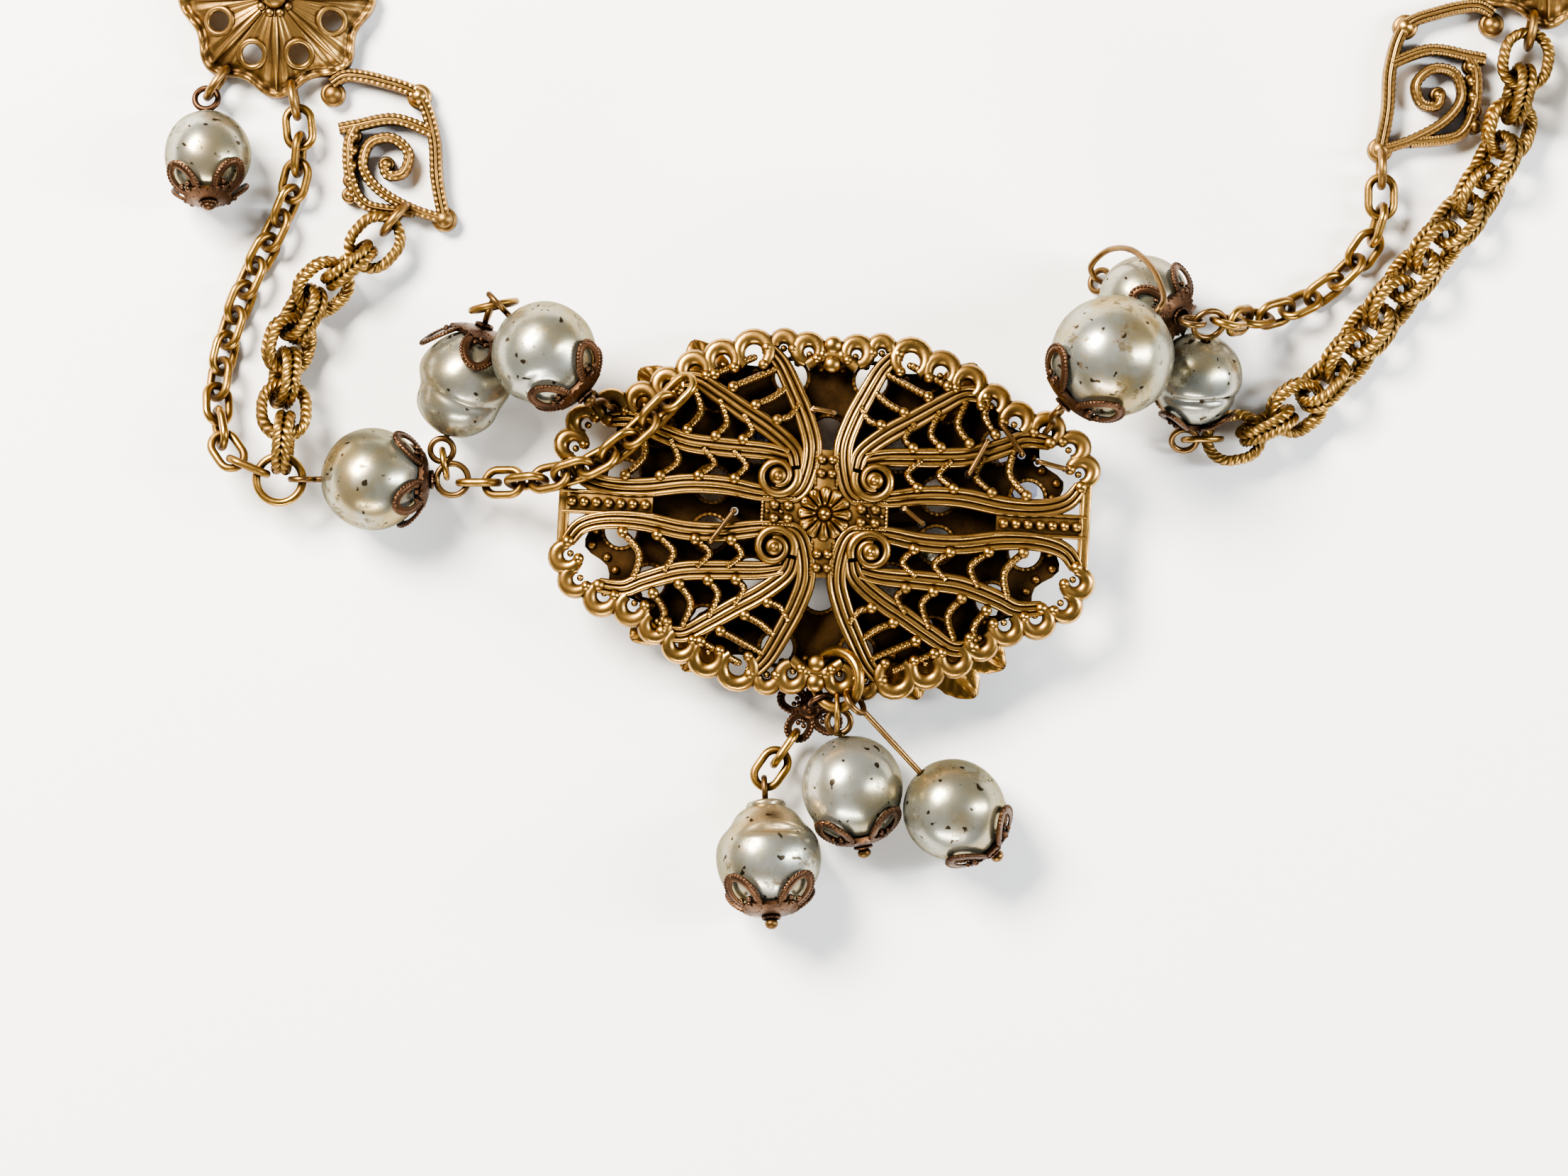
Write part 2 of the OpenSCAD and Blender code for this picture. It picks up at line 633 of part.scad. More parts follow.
heavy_right_route = [
    [38.93, 7.3, 2.37], [40.2, 7.6, 2.53], [44.4, 9.8, 2.55], [48.3, 13.2, heavy_z],
    [51.4, 17, heavy_z], [54.4, 20.8, heavy_z], [58, 25.2, heavy_z], [61.8, 30, heavy_z],
    [64.8, 35.9, 2.4], [66.3, 41.9, 2.58], [66.6, 43.14, 2.58]
];
back_left_route = [
    [-55.27, 61.22, 2.58], [-55.6, 62.4, 2.62], [-56.9, 68, 2.45], [-57.2, 76, heavy_z],
    [-54.6, 86, heavy_z], [-47.2, 97.6, heavy_z], [-34, 109, heavy_z], [-16, 116.4, heavy_z],
    [-6, 118.4, 2.6], [0.32, 118.6, 2.7]
];
back_right_route = [
    [72.07, 67.82, 2.58], [72.4, 69, 2.62], [73.6, 78, heavy_z], [71, 89, heavy_z],
    [63, 102, heavy_z], [50, 112, heavy_z], [33, 117.6, heavy_z], [22, 118.6, 2.6],
    [15.7, 118.6, 2.7]
];
module plate_chain() {
    color("darkgoldenrod")
        fine_chain(plate_route, [45, 90]);
}
module fine_chain_left() {
    color("goldenrod")
        fine_chain(fine_left_route, [90, 0]);
}
module fine_chain_right() {
    color("goldenrod")
        fine_chain(fine_right_route, [118, 0]);
}
module heavy_chain_left() {
    color("peru")
        heavy_chain(heavy_left_route, [90, 0]);
}
module heavy_chain_right() {
    color("peru")
        heavy_chain(heavy_right_route, [0, 0]);
}
module back_chain_left() {
    color("peru")
        heavy_chain(back_left_route, [0, 90]);
}
module back_chain_right() {
    color("peru")
        heavy_chain(back_right_route, [0, 90]);
}

// Stations: one side drawn about the lower end of its scroll, the other mirrored
station_ends = [[-40.2, 28.4, 0], [57, 35, 0]];
flower_mid = [-11.8, 20.6];
flower_r = 9.6;
flower_petals = 8;
flower_rise = 3.2;
flower_t = 1;
module at_station(side) {
    translate(station_ends[side])
        mirror([side, 0, 0])
            children();
}
flower_lugs = [-80, 105, -125];
lug_r = 1.65;
lug_wire = 0.8;
lug_z = lug_r + lug_wire / 2 + 0.3;
module lug(x, y, angle) {
    translate([x, y, lug_z])
        rotate([90, 0, angle])
            ring(lug_r, lug_wire);
}
module station_flower() {
    sphere_r = (pow(flower_r, 2) + pow(flower_rise, 2)) / 2 / flower_rise;
    translate([flower_mid.x, flower_mid.y, 0]) {
        intersection() {
            difference() {
                translate([0, 0, flower_rise + flower_t - sphere_r])
                    sphere(r = sphere_r, $fn = 96);
                translate([0, 0, flower_rise - sphere_r])
                    sphere(r = sphere_r, $fn = 96);
            }
            linear_extrude(flower_rise + 2 * flower_t)
                difference() {
                    polygon([
                        for (k = [0:flower_petals * 6 - 1])
                            let (a = k * 60 / flower_petals)
                                flower_r * (0.92 + 0.06 * cos(a * flower_petals)) * [cos(a), sin(a)]
                    ]);
                    for (k = [0:flower_petals - 1])
                        rotate([0, 0, (k + 0.5) * 360 / flower_petals])
                            translate([flower_r * 0.6, 0])
                                circle(r = 1.2);
                }
        }
        for (a = flower_lugs)
            lug((flower_r + 0.2) * cos(a), (flower_r + 0.2) * sin(a), a);
    }
}
scroll_t = 1.6;
scroll_z = 0.15;
scroll_line = [
    [4.1, -0.3], [1.2, 0.6], [-2, 2.4], [-3.6, 4.6], [-3, 6.9], [-0.9, 7.4], [0.7, 6], [0.2, 4.1],
    [-1.3, 3.9], [-1.6, 5]
];
edge_line = [[4.1, -0.3], [3.4, 3.4], [3.1, 7.6], [1.7, 11.4], [-1.6, 12.8], [-5, 13.4], [-6.6, 12.6]];
band_line = [[3.1, 7.9], [-0.6, 9.2], [-4.3, 8.6], [-5.9, 8.3]];
side_line = [[1.2, 0.4], [-3.2, 1], [-4.8, 3.6], [-5, 6.8], [-4.3, 8.6]];
// Lug at the lower end of each side's scroll: x, y and the way that it faces
scroll_lugs = [[-0.6, -0.4, 50], [4.1, -2.2, 90]];
module flat_bar(line, w) {
    n = len(line);
    section = [[-w / 2, 0], [w / 2, 0], [w * 0.25, scroll_t], [-w * 0.25, scroll_t]];
    points = [
        for (i = [0:n - 1])
            let (a = line[max(i - 1, 0)], b = line[min(i + 1, n - 1)], t = (b - a) / norm(b - a))
                for (q = section)
                    [line[i].x - t.y * q.x, line[i].y + t.x * q.x, scroll_z + q.y]
    ];
    polyhedron(points = points, faces = bar_faces(n, len(section)), convexity = 8);
}
module knob(x, y, r) {
    translate([x, y, scroll_z]) {
        cylinder(r = r, h = scroll_t * 0.8);
        cylinder(r = r * 0.6, h = scroll_t * 1.25);
    }
}
module station_scroll(side) {
    flat_bar(scroll_line, 0.9);
    flat_bar(edge_line, 1.2);
    flat_bar(band_line, 1.1);
    flat_bar(side_line, 1);
    knob(4.1, -0.3, 1.2);
    knob(1.7, 11.4, 1.2);
    knob(-1.4, 4.9, 0.8);
    for (k = [0:4])
        knob(-4.9 + 0.1 * k, 2 + 1.4 * k, 0.8);
    knob(-6.5, 11.6, 1.2);
    lug(scroll_lugs[side].x, scroll_lugs[side].y, scroll_lugs[side].z);
}
module station(side) {
    color("darkgoldenrod")
        at_station(side) {
            station_flower();
            station_scroll(side);
        }
}
station_gem = [[-18.15, 5.6, 4.3], [0.05, -0.93, 0.36], [4.1, 1.05, 0, 0, 0, 90]];
module on_station_gem(side) {
    at_station(side)
        aim(station_gem[0], station_gem[1])
            children();
}
module station_pearl(side) {
    color("ivory")
        on_station_gem(side)
            pearl(station_gem[2], 12, 9);
}
module station_cap(side) {
    reach = station_gem[2][0] * station_gem[2][1];
    color("saddlebrown")
        on_station_gem(side) {
            cap_on(reach);
            translate([0, 0, 1.1 - reach - 1.6])
                cylinder(d = pin_wire, h = 2 * reach + 1.4);
            translate([0, 0, reach + 0.9])
                sphere(d = 1.3);
            translate([0, 0, -reach - 1.6])
                rotate([90, 0, eye_turn(station_gem[1], [0, 0, 1])])
                    ring(eye_r, pin_wire);
        }
}

// Clasp: a plain hook at the left end of the back chain and a ring at the right one
clasp_wire = 1.2;
clasp_z = 2.7;
clasp_y = 118.6;
clasp_line = [
    [5, 0, 0], [6.2, 0, 0.5], [7.3, 0, 1.3], [8.5, 0, 1.45], [9.6, 0, 1], [10, 0, 0], [9.6, 0, -1],
    [8.6, 0, -1.5], [7.6, 0, -1.4]
];
module clasp_hook() {
    color("goldenrod")
        translate([0, clasp_y, clasp_z]) {
            tail(clasp_line, [0, 1, 0], clasp_wire, 8);
            translate([3.4, 0, 0])
                ring(2, clasp_wire);
        }
}
module clasp_ring() {
    color("goldenrod")
        translate([11.5, clasp_y, clasp_z])
            ring(3, clasp_wire);
}

module on_table() {
    translate([-middle.x, -middle.y, 0])
        children();
}
on_table() back_plate();
on_table() front_plate();
on_table() leaves_left();
on_table() leaves_right();
on_table() blue_stone(0);  // blue_stone_1
on_table() blue_stone(1);  // blue_stone_2
on_table() blue_stone(2);  // blue_stone_3
on_table() front_pearl(0);  // front_pearl_1
on_table() front_pearl(1);  // front_pearl_2
on_table() front_pearl(2);  // front_pearl_3
on_table() front_pearl(3);  // front_pearl_4
on_table() binding_wires();
on_table() gem_pearl(0);  // pearl_1
on_table() gem_pearl(1);  // pearl_2
on_table() gem_pearl(2);  // pearl_3
on_table() gem_pearl(3);  // pearl_4
on_table() gem_pearl(4);  // pearl_5
on_table() gem_pearl(5);  // pearl_6
on_table() gem_cap(0);  // cap_1
on_table() gem_cap(1);  // cap_2
on_table() gem_cap(2);  // cap_3
on_table() gem_cap(3);  // cap_4
on_table() gem_cap(4);  // cap_5
on_table() gem_cap(5);  // cap_6
on_table() gem_pin(0);  // pin_1
on_table() gem_pin(1);  // pin_2
on_table() pin_3();
on_table() pin_4();
on_table() gem_pin(4);  // pin_5
on_table() gem_pin(5);  // pin_6
on_table() gem_pearl(6);  // drop_pearl_a
on_table() gem_pearl(7);  // drop_pearl_b
on_table() gem_pearl(8);  // drop_pearl_c
on_table() gem_cap(6);  // drop_cap_a
on_table() gem_cap(7);  // drop_cap_b
on_table() gem_cap(8);  // drop_cap_c
on_table() gem_pin(6);  // drop_pin_a
on_table() gem_pin(7);  // drop_pin_b
on_table() gem_pin(8);  // drop_pin_c
on_table() drop_flower();
on_table() drop_ring();
on_table() joining_rings();
on_table() plate_chain();
on_table() fine_chain_left();
on_table() fine_chain_right();
on_table() heavy_chain_left();
on_table() heavy_chain_right();
on_table() back_chain_left();
on_table() back_chain_right();
on_table() station(0);  // station_left
on_table() station_pearl(0);  // station_pearl_left
on_table() station_cap(0);  // station_cap_left
on_table() station(1);  // station_right
on_table() station_pearl(1);  // station_pearl_right
on_table() station_cap(1);  // station_cap_right
on_table() clasp_hook();
on_table() clasp_ring();
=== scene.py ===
"""Looks of a baroque pearl necklace that lies face down: antique gold filigree over a hidden
flower cluster, capped pearls, cable chains and two flower stations. Lengths are in
millimetres about the rosette in the middle of the back plate until a piece is finished."""

import math

import bmesh
import bpy
import numpy as np
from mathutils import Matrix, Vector


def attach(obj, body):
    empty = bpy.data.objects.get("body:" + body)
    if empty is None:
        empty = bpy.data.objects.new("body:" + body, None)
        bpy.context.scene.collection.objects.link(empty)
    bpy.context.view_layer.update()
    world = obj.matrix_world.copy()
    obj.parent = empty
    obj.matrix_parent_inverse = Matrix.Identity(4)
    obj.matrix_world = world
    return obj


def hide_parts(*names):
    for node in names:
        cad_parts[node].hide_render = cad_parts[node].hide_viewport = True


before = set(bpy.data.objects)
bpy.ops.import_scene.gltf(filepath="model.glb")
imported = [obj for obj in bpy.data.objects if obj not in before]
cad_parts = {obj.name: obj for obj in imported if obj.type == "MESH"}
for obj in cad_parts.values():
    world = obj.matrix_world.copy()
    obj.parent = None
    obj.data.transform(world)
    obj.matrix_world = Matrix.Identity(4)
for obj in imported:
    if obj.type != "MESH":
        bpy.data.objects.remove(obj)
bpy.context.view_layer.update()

MM = 0.001
UP = (0, 0, 1)
MIDDLE = np.array([8.4, 41.465, 0.0])

# Sizes of the CAD part: half lengths of the plate, its crown, sheet and turn, the front
# plate's height and thickness, the pearls' bore, the wires and the eyes, and each kind of link
# as length, width, wire and the gap between its two wires
HALF_L, HALF_W = 25.0, 16.75
CROWN_Z, CROWN_H = 8.3, 1.5
SHEET_T, STEM_W = 0.7, 1.25
PLATE_TURN = math.radians(-3)
FRONT_Z, FRONT_T = 4.3, 0.9
BORE_D, PETAL_WIRE, PIN_WIRE, EYE_R = 1.0, 0.5, 0.6, 1.1
FINE_LINK = (4.6, 3.2, 0.8, 0.0)
HEAVY_LINK = (6.2, 5.2, 1.0, 0.85)


# Curves
def smooth(points, steps):
    """Catmull-Rom curve through the points."""
    p = np.asarray(points, float)
    p = np.vstack([p[:1], p, p[-1:]])
    t = (np.arange(steps) / steps)[:, None]
    out = [0.5 * (2 * b + (c - a) * t + (2 * a - 5 * b + 4 * c - d) * t ** 2
                  + (3 * b - a - 3 * c + d) * t ** 3)
           for a, b, c, d in zip(p, p[1:], p[2:], p[3:])]
    return np.vstack(out + [p[-1:]])


def even(path, step, closed=False):
    """The same curve with points about one step apart."""
    p = np.vstack([path, path[:1]]) if closed else path
    run = np.concatenate([[0], np.cumsum(np.linalg.norm(np.diff(p, axis=0), axis=1))])
    n = max(3, int(round(run[-1] / step)))
    at = np.linspace(0, run[-1], n + 1)
    if closed:
        at = at[:-1]
    return np.column_stack([np.interp(at, run, p[:, k]) for k in range(p.shape[1])])


def unit(v):
    v = np.asarray(v, float)
    return v / np.maximum(np.linalg.norm(v, axis=-1, keepdims=True), 1e-12)


def around(count):
    """Even angles round a circle."""
    return np.arange(count) * 2 * math.pi / count


def arc(x, y, r, a):
    """Plane points of a circle at the angles a."""
    return np.column_stack([x + r * np.cos(a), y + r * np.sin(a)])


def on_ball(r, polar, turn):
    """Points at radius r, at a polar angle from the z axis and a turn about it."""
    polar, turn = np.broadcast_arrays(polar, turn)
    return np.stack([r * np.sin(polar) * np.cos(turn), r * np.sin(polar) * np.sin(turn),
                     r * np.cos(polar)], -1)


def tangents(path, closed):
    if closed:
        return unit(np.roll(path, -1, 0) - np.roll(path, 1, 0))
    return unit(np.gradient(path, axis=0))


# Meshes
BEAD_STEPS, BEAD_NECK = 4, 0.34  # points to a bead of a milled wire, and how far it narrows
STRAND = 0.12  # how far a rope's strands stand out


class Shape:
    """Collects points and faces of one piece."""

    def __init__(self):
        self.points, self.faces, self.count = [], [], 0

    def add(self, points, faces):
        points = np.asarray(points, float).reshape(-1, 3)
        self.points.append(points)
        self.faces.extend((np.asarray(f) + self.count).tolist() for f in faces)
        self.count += len(points)

    def lattice(self, rows, loop=False):
        """A tube of closed rows of points: loop joins the last row to the first, otherwise
        both ends are capped."""
        n, m, _ = rows.shape
        i = np.arange(n if loop else n - 1)
        a, b = np.meshgrid(i, np.arange(m), indexing="ij")
        a2, b2 = (a + 1) % n, (b + 1) % m
        quads = np.stack([a * m + b, a * m + b2, a2 * m + b2, a2 * m + b], -1).reshape(-1, 4)
        faces = list(quads)
        if not loop:
            faces += [np.arange(m)[::-1], (n - 1) * m + np.arange(m)]
        self.add(rows, faces)

    def sweep(self, path, section, up=UP, closed=False, grow=None, twist=None):
        """A section of across and up values carried along a path."""
        path = np.asarray(path, float)
        t = tangents(path, closed)
        up = np.broadcast_to(np.asarray(up, float), path.shape)
        side = unit(np.cross(t, up))
        top = np.cross(side, t)
        s = np.broadcast_to(np.asarray(section, float), (len(path), len(section), 2))
        if grow is not None:
            s = s * np.asarray(grow, float).reshape(len(path), 1, -1)
        if twist is not None:
            c, w = np.cos(twist)[:, None], np.sin(twist)[:, None]
            s = np.stack([s[..., 0] * c - s[..., 1] * w, s[..., 0] * w + s[..., 1] * c], -1)
        rows = path[:, None] + side[:, None] * s[..., :1] + top[:, None] * s[..., 1:]
        self.lattice(rows, loop=closed)

    def wire(self, path, r, sides=8, up=None, closed=False, grow=None):
        """A round wire; with no up direction its section is carried without twisting."""
        a = around(sides)
        section = np.column_stack([np.cos(a), np.sin(a)]) * r
        if up is None:
            up = carried(path)
        self.sweep(path, section, up, closed, grow)

    def milled(self, path, r, pitch=0.45, sides=6, up=UP, closed=False):
        """A wire with a row of small beads along it."""
        path = even(np.asarray(path, float), pitch / BEAD_STEPS, closed)
        phase = np.arange(len(path)) * math.pi / BEAD_STEPS
        grow = 1 - BEAD_NECK * np.abs(np.cos(phase)) ** 3
        self.wire(path, r, sides, up, closed, grow[:, None])

    def rope(self, path, r, turn, sides, up, step):
        """Strands twisted round each other on a closed path, one strand for two sides."""
        path = even(path, step, True)
        n = len(path)
        turns = round(n * step / turn)
        a = around(sides)
        lobes = 1 - STRAND + STRAND * np.cos(a * sides / 2)
        section = np.column_stack([np.cos(a) * lobes, np.sin(a) * lobes]) * r * 1.03
        self.sweep(path, section, up, True, twist=np.arange(n) * 4 * math.pi / sides * turns / n)

    def ball(self, centre, r, rows=8, sides=12, squash=1.0, up=UP):
        polar = np.linspace(0.04, math.pi - 0.04, rows)[:, None]
        p = on_ball(r, polar, around(sides)[None]) * [1, 1, squash]
        self.lattice(p @ basis(up).T + centre)


def carried(path):
    """Up directions along an open path that don't twist about it."""
    t = tangents(np.asarray(path, float), False)
    first = np.cross(t[0], [0.31, 0.52, 0.79])
    ups = [unit(first)]
    for k in range(1, len(t)):
        ups.append(unit(ups[-1] - t[k] * np.dot(ups[-1], t[k])))
    return np.array(ups)


def basis(d):
    """Columns are the axes of a frame whose z axis points along d, as the CAD's aim() has."""
    d = unit(d)
    th, ph = math.acos(max(-1, min(1, d[2]))), math.atan2(d[1], d[0])
    return np.array([
        [math.cos(th) * math.cos(ph), -math.sin(ph), d[0]],
        [math.cos(th) * math.sin(ph), math.cos(ph), d[1]],
        [-math.sin(th), 0, d[2]]])


def add_object(name, data):
    made = bpy.data.objects.new(name, data)
    bpy.context.scene.collection.objects.link(made)
    return made


def finish_piece(name, shape, nodes, material, auto=55):
    """Makes the piece in the row's frame, and hides the CAD nodes that it stands for."""
    points = (np.vstack(shape.points) - MIDDLE) * MM
    mesh = bpy.data.meshes.new(name)
    mesh.from_pydata(points.tolist(), [], shape.faces)
    tool = bmesh.new()
    tool.from_mesh(mesh)
    bmesh.ops.recalc_face_normals(tool, faces=tool.faces)
    tool.to_mesh(mesh)
    tool.free()
    mesh.shade_smooth()
    mesh.set_sharp_from_angle(angle=math.radians(auto))
    piece = add_object(name, mesh)
    mesh.materials.append(material)
    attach(piece, "root")
    if nodes:
        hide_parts(*nodes)


# Materials
def new_material(name):
    material = bpy.data.materials.new(name)
    material.use_nodes = True
    tree = material.node_tree
    shader = tree.nodes["Principled BSDF"]
    return material, tree, shader


def node(tree, kind, inputs=(), **values):
    """A shader node with its settings, and its inputs linked or set."""
    made = tree.nodes.new("ShaderNode" + kind)
    for key, value in values.items():
        setattr(made, key, value)
    for key, value in dict(inputs).items():
        if isinstance(value, bpy.types.NodeSocket):
            tree.links.new(value, made.inputs[key])
        else:
            made.inputs[key].default_value = value
    return made


MIX_INPUTS, MIX_RESULT = (0, 6, 7), 2  # the sockets of a Mix node that mixes colours


def mix(tree, factor, a, b):
    made = node(tree, "Mix", zip(MIX_INPUTS, (factor, a, b)), data_type="RGBA")
    return made.outputs[MIX_RESULT]


def span(tree, value, low, high, to_low=0.0, to_high=1.0):
    """The value's stretch from low to high, mapped to another."""
    return node(tree, "MapRange", {"Value": value, "From Min": low, "From Max": high,
                                   "To Min": to_low, "To Max": to_high}).outputs["Result"]


def noise(tree, size_mm, detail=3.0, rough=0.55, offset=0.0):
    """Noise in the piece's own space, with spots of about that size."""
    place = node(tree, "TexCoord").outputs["Object"]
    moved = node(tree, "Mapping", {"Vector": place, "Location": (offset, offset * 0.7, 0)})
    return node(tree, "TexNoise", {"Vector": moved.outputs[0], "Scale": 1000 / size_mm,
                                   "Detail": detail, "Roughness": rough}).outputs["Fac"]


def paint(tree, shader, colour, roughness):
    tree.links.new(colour, shader.inputs["Base Color"])
    tree.links.new(roughness, shader.inputs["Roughness"])


def dent(tree, shader, height, strength, depth_mm):
    bump = node(tree, "Bump", {"Height": height, "Strength": strength, "Distance": depth_mm * MM})
    tree.links.new(bump.outputs[0], shader.inputs["Normal"])


def metal(name, bright, dark, rough=0.3, reach_mm=1.2, low=0.35, high=0.9, hammer=0.3):
    """Old metal: bright where it stands free, brown and dull where it's tucked away, partly as patina
    and partly as painted shade.
    """
    material, tree, shader = new_material(name)
    # Ambient occlusion paints the colour dark where the metal is tucked away: brown patina in its
    # hollows, and painted shade under and between parts
    tucked = node(tree, "AmbientOcclusion", {"Distance": reach_mm * MM}, samples=6)
    clear_of_patina_and_shade = span(tree, tucked.outputs["AO"], low, high)
    blotch = span(tree, noise(tree, 4, 5, 0.6), 0.38, 0.58, 0.4, 1.0)
    speck = span(tree, noise(tree, 0.6, 2), 0.3, 0.6, 0.8, 1.0)
    # worn carries the painted shade of tucked-away places as well as wear and patina
    worn = node(tree, "Math", {0: clear_of_patina_and_shade, 1: blotch}, operation="MULTIPLY").outputs[0]
    worn = node(tree, "Math", {0: worn, 1: speck}, operation="MULTIPLY").outputs[0]
    paint(tree, shader, mix(tree, worn, (*dark, 1), (*bright, 1)),
          span(tree, worn, 0, 1, rough + 0.3, rough))
    shader.inputs["Metallic"].default_value = 1.0
    dent(tree, shader, noise(tree, 0.8, 4, 0.6), hammer, 0.09)
    return material


# Colours of the pearls' coating, its stains and its worn spot
NACRE_GREY, NACRE_PALE = (0.30, 0.305, 0.265, 1), (0.46, 0.46, 0.41, 1)
OLIVE_CLOUD, YELLOW_STAIN = (0.19, 0.175, 0.105, 1), (0.31, 0.235, 0.11, 1)
BROWN_STAIN, PIT_BLACK = (0.09, 0.063, 0.027, 1), (0.03, 0.02, 0.01, 1)
WORN_CREAM, WORN_RIM = (0.50, 0.36, 0.19, 1), (0.05, 0.035, 0.02, 1)
NACRE_GLOSS = (0.30, 0.26, 0.17, 1)
# Where the worn spot and its dark middle end, in metres
CREAM_FROM, CREAM_TO, RIM_TO = 0.0014, 0.0032, 0.0013


def nacre(name, offset, stain=1.0, warm=None):
    """Silver-grey pearl coating with olive clouds, brown stains and small pits; warm gives a
    place in metres where the coating has worn to cream round a dark spot."""
    material, tree, shader = new_material(name)
    tone = span(tree, noise(tree, 8, 2, 0.5, offset), 0.35, 0.65)
    base = mix(tree, tone, NACRE_GREY, NACRE_PALE)
    cloud = span(tree, noise(tree, 11, 4, 0.65, offset + 0.09), 0.42, 0.60, 0, 0.7)
    base = mix(tree, cloud, base, OLIVE_CLOUD)
    yellow = span(tree, noise(tree, 5, 3, 0.6, offset + 0.02), 0.46, 0.62, 0, 0.8 * stain)
    base = mix(tree, yellow, base, YELLOW_STAIN)
    brown = span(tree, noise(tree, 2.4, 5, 0.75, offset + 0.05), 0.54, 0.64, 0, 0.85 * stain)
    base = mix(tree, brown, base, BROWN_STAIN)
    if warm:
        place = node(tree, "TexCoord").outputs["Object"]
        away = node(tree, "VectorMath", {0: place, 1: warm}, operation="DISTANCE").outputs["Value"]
        worn = span(tree, away, CREAM_FROM, CREAM_TO, 0.75, 0)
        base = mix(tree, worn, base, WORN_CREAM)
        rim = span(tree, away, 0.0, RIM_TO, 0.9, 0)
        base = mix(tree, rim, base, WORN_RIM)
    pits = span(tree, noise(tree, 0.9, 1, 0.5, offset), 0.68, 0.72, 0, 0.95)
    base = mix(tree, pits, base, PIT_BLACK)
    paint(tree, shader, base, span(tree, brown, 0, 0.7, 0.27, 0.45))
    shader.inputs["Metallic"].default_value = 0.8
    shader.inputs["Specular Tint"].default_value = NACRE_GLOSS
    shader.inputs["Coat Weight"].default_value = 0.10
    shader.inputs["Coat Roughness"].default_value = 0.08
    dent(tree, shader, noise(tree, 2.2, 3, 0.55, offset), 0.25, 0.12)
    return material


# Name, bright and dark colour, roughness, reach of the dark stretches of patina and painted shade in
# millimetres, the openness at which it's fully dark and fully bright, and how strong its dents are
GOLD = metal("antique_gold", (0.49, 0.285, 0.088), (0.030, 0.015, 0.006), 0.24, 0.9, 0.55, 1.0, 0.20)
# The front plate and the rims of its holes lie under the back plate, and their gold is painted much
# darker as shade
SHADED_FRONT_GOLD = metal("shaded_gold", (0.13, 0.07, 0.025), (0.008, 0.005, 0.003), 0.45, 4.0, 0.5)
SHADED_FRONT_TRIM = metal("shaded_trim_gold", (0.30, 0.165, 0.05), (0.02, 0.01, 0.004), 0.35, 3.0)
LEAF_GOLD = metal("leaf_gold", (0.40, 0.22, 0.06), (0.03, 0.013, 0.005), 0.26, 2.0)
LINK_GOLD = metal("link_gold", (0.45, 0.265, 0.075), (0.04, 0.018, 0.006), 0.25, 1.2, 0.5, 0.97)
ROPE_GOLD = metal("rope_gold", (0.42, 0.25, 0.075), (0.03, 0.017, 0.007), 0.28, 0.8, 0.5, 0.95)
COPPER = metal("dark_copper", (0.12, 0.062, 0.033), (0.012, 0.007, 0.005), 0.32, 0.6, 0.5, 0.95)
WIRE = metal("wire", (0.21, 0.12, 0.045), (0.03, 0.016, 0.007), 0.30, 1.0)
STATION_GOLD = metal("station_gold", (0.40, 0.235, 0.08), (0.035, 0.018, 0.008), 0.30, 1.5, 0.5, 0.97)

BLUE, blue_tree, blue_shader = new_material("blue_glass")
inner = span(blue_tree, noise(blue_tree, 1.6, 3), 0.35, 0.65)
paint(blue_tree, blue_shader, mix(blue_tree, inner, (0.004, 0.010, 0.065, 1), (0.010, 0.028, 0.16, 1)),
      span(blue_tree, noise(blue_tree, 0.7, 2), 0.45, 0.7, 0.04, 0.22))
blue_shader.inputs["Coat Weight"].default_value = 1.0


# Back plate
def dome(x, y):
    return CROWN_Z - CROWN_H * ((x / HALF_L) ** 2 + (y / HALF_W) ** 2)


def turned(x, y):
    """Plane places turned as the plate lies."""
    c, s = math.cos(PLATE_TURN), math.sin(PLATE_TURN)
    return x * c - y * s, x * s + y * c


def on_plate(points, lift=0.0):
    """Plane points of the plate, lifted to its dome and turned with it."""
    p = np.asarray(points, float)
    x, y = p[..., 0], p[..., 1]
    return np.stack([*turned(x, y), dome(x, y) + lift], -1)


STEMS = [
    [(4.6, 1.55), (6.5, 1.75), (9.5, 2.2), (13, 2.2), (17, 1.6), (20.4, 1.6), (22.8, 2.3), (24, 3.8)],
    [(3.7, 5.2), (5.7, 5.6), (9.9, 5.8), (13.3, 6.1), (16.7, 7.2), (18.6, 8), (20.9, 7.8)],
    [(2.8, 4.4), (3.3, 5.9), (5.6, 7.8), (8.1, 9.3), (10.5, 10.8), (12.7, 12), (14.7, 11.8)],
    [(4.6, 1.55), (2.7, 1.8), (1.8, 3.4), (1.45, 6.1), (2.15, 8.7), (3.35, 11.3), (4.75, 13.9),
     (6.2, 15.4)],
]
# Middle x, y, radius, first and last angle
CURLS = [
    (24, 5.2, 1.1, -90, 170), (23, 7.4, 1.1, -90, 150), (20.5, 8.9, 1.2, -60, 190),
    (17.6, 9.7, 1.2, -60, 190), (15.3, 11.3, 1.1, -60, 200), (12.9, 12.9, 1.2, -60, 200),
    (10.3, 14, 1.3, -50, 210), (7.4, 14.9, 1.5, -60, 230), (4.6, 15.7, 0.9, -10, 200),
    (2.3, 15.3, 1.1, -80, 220),
]
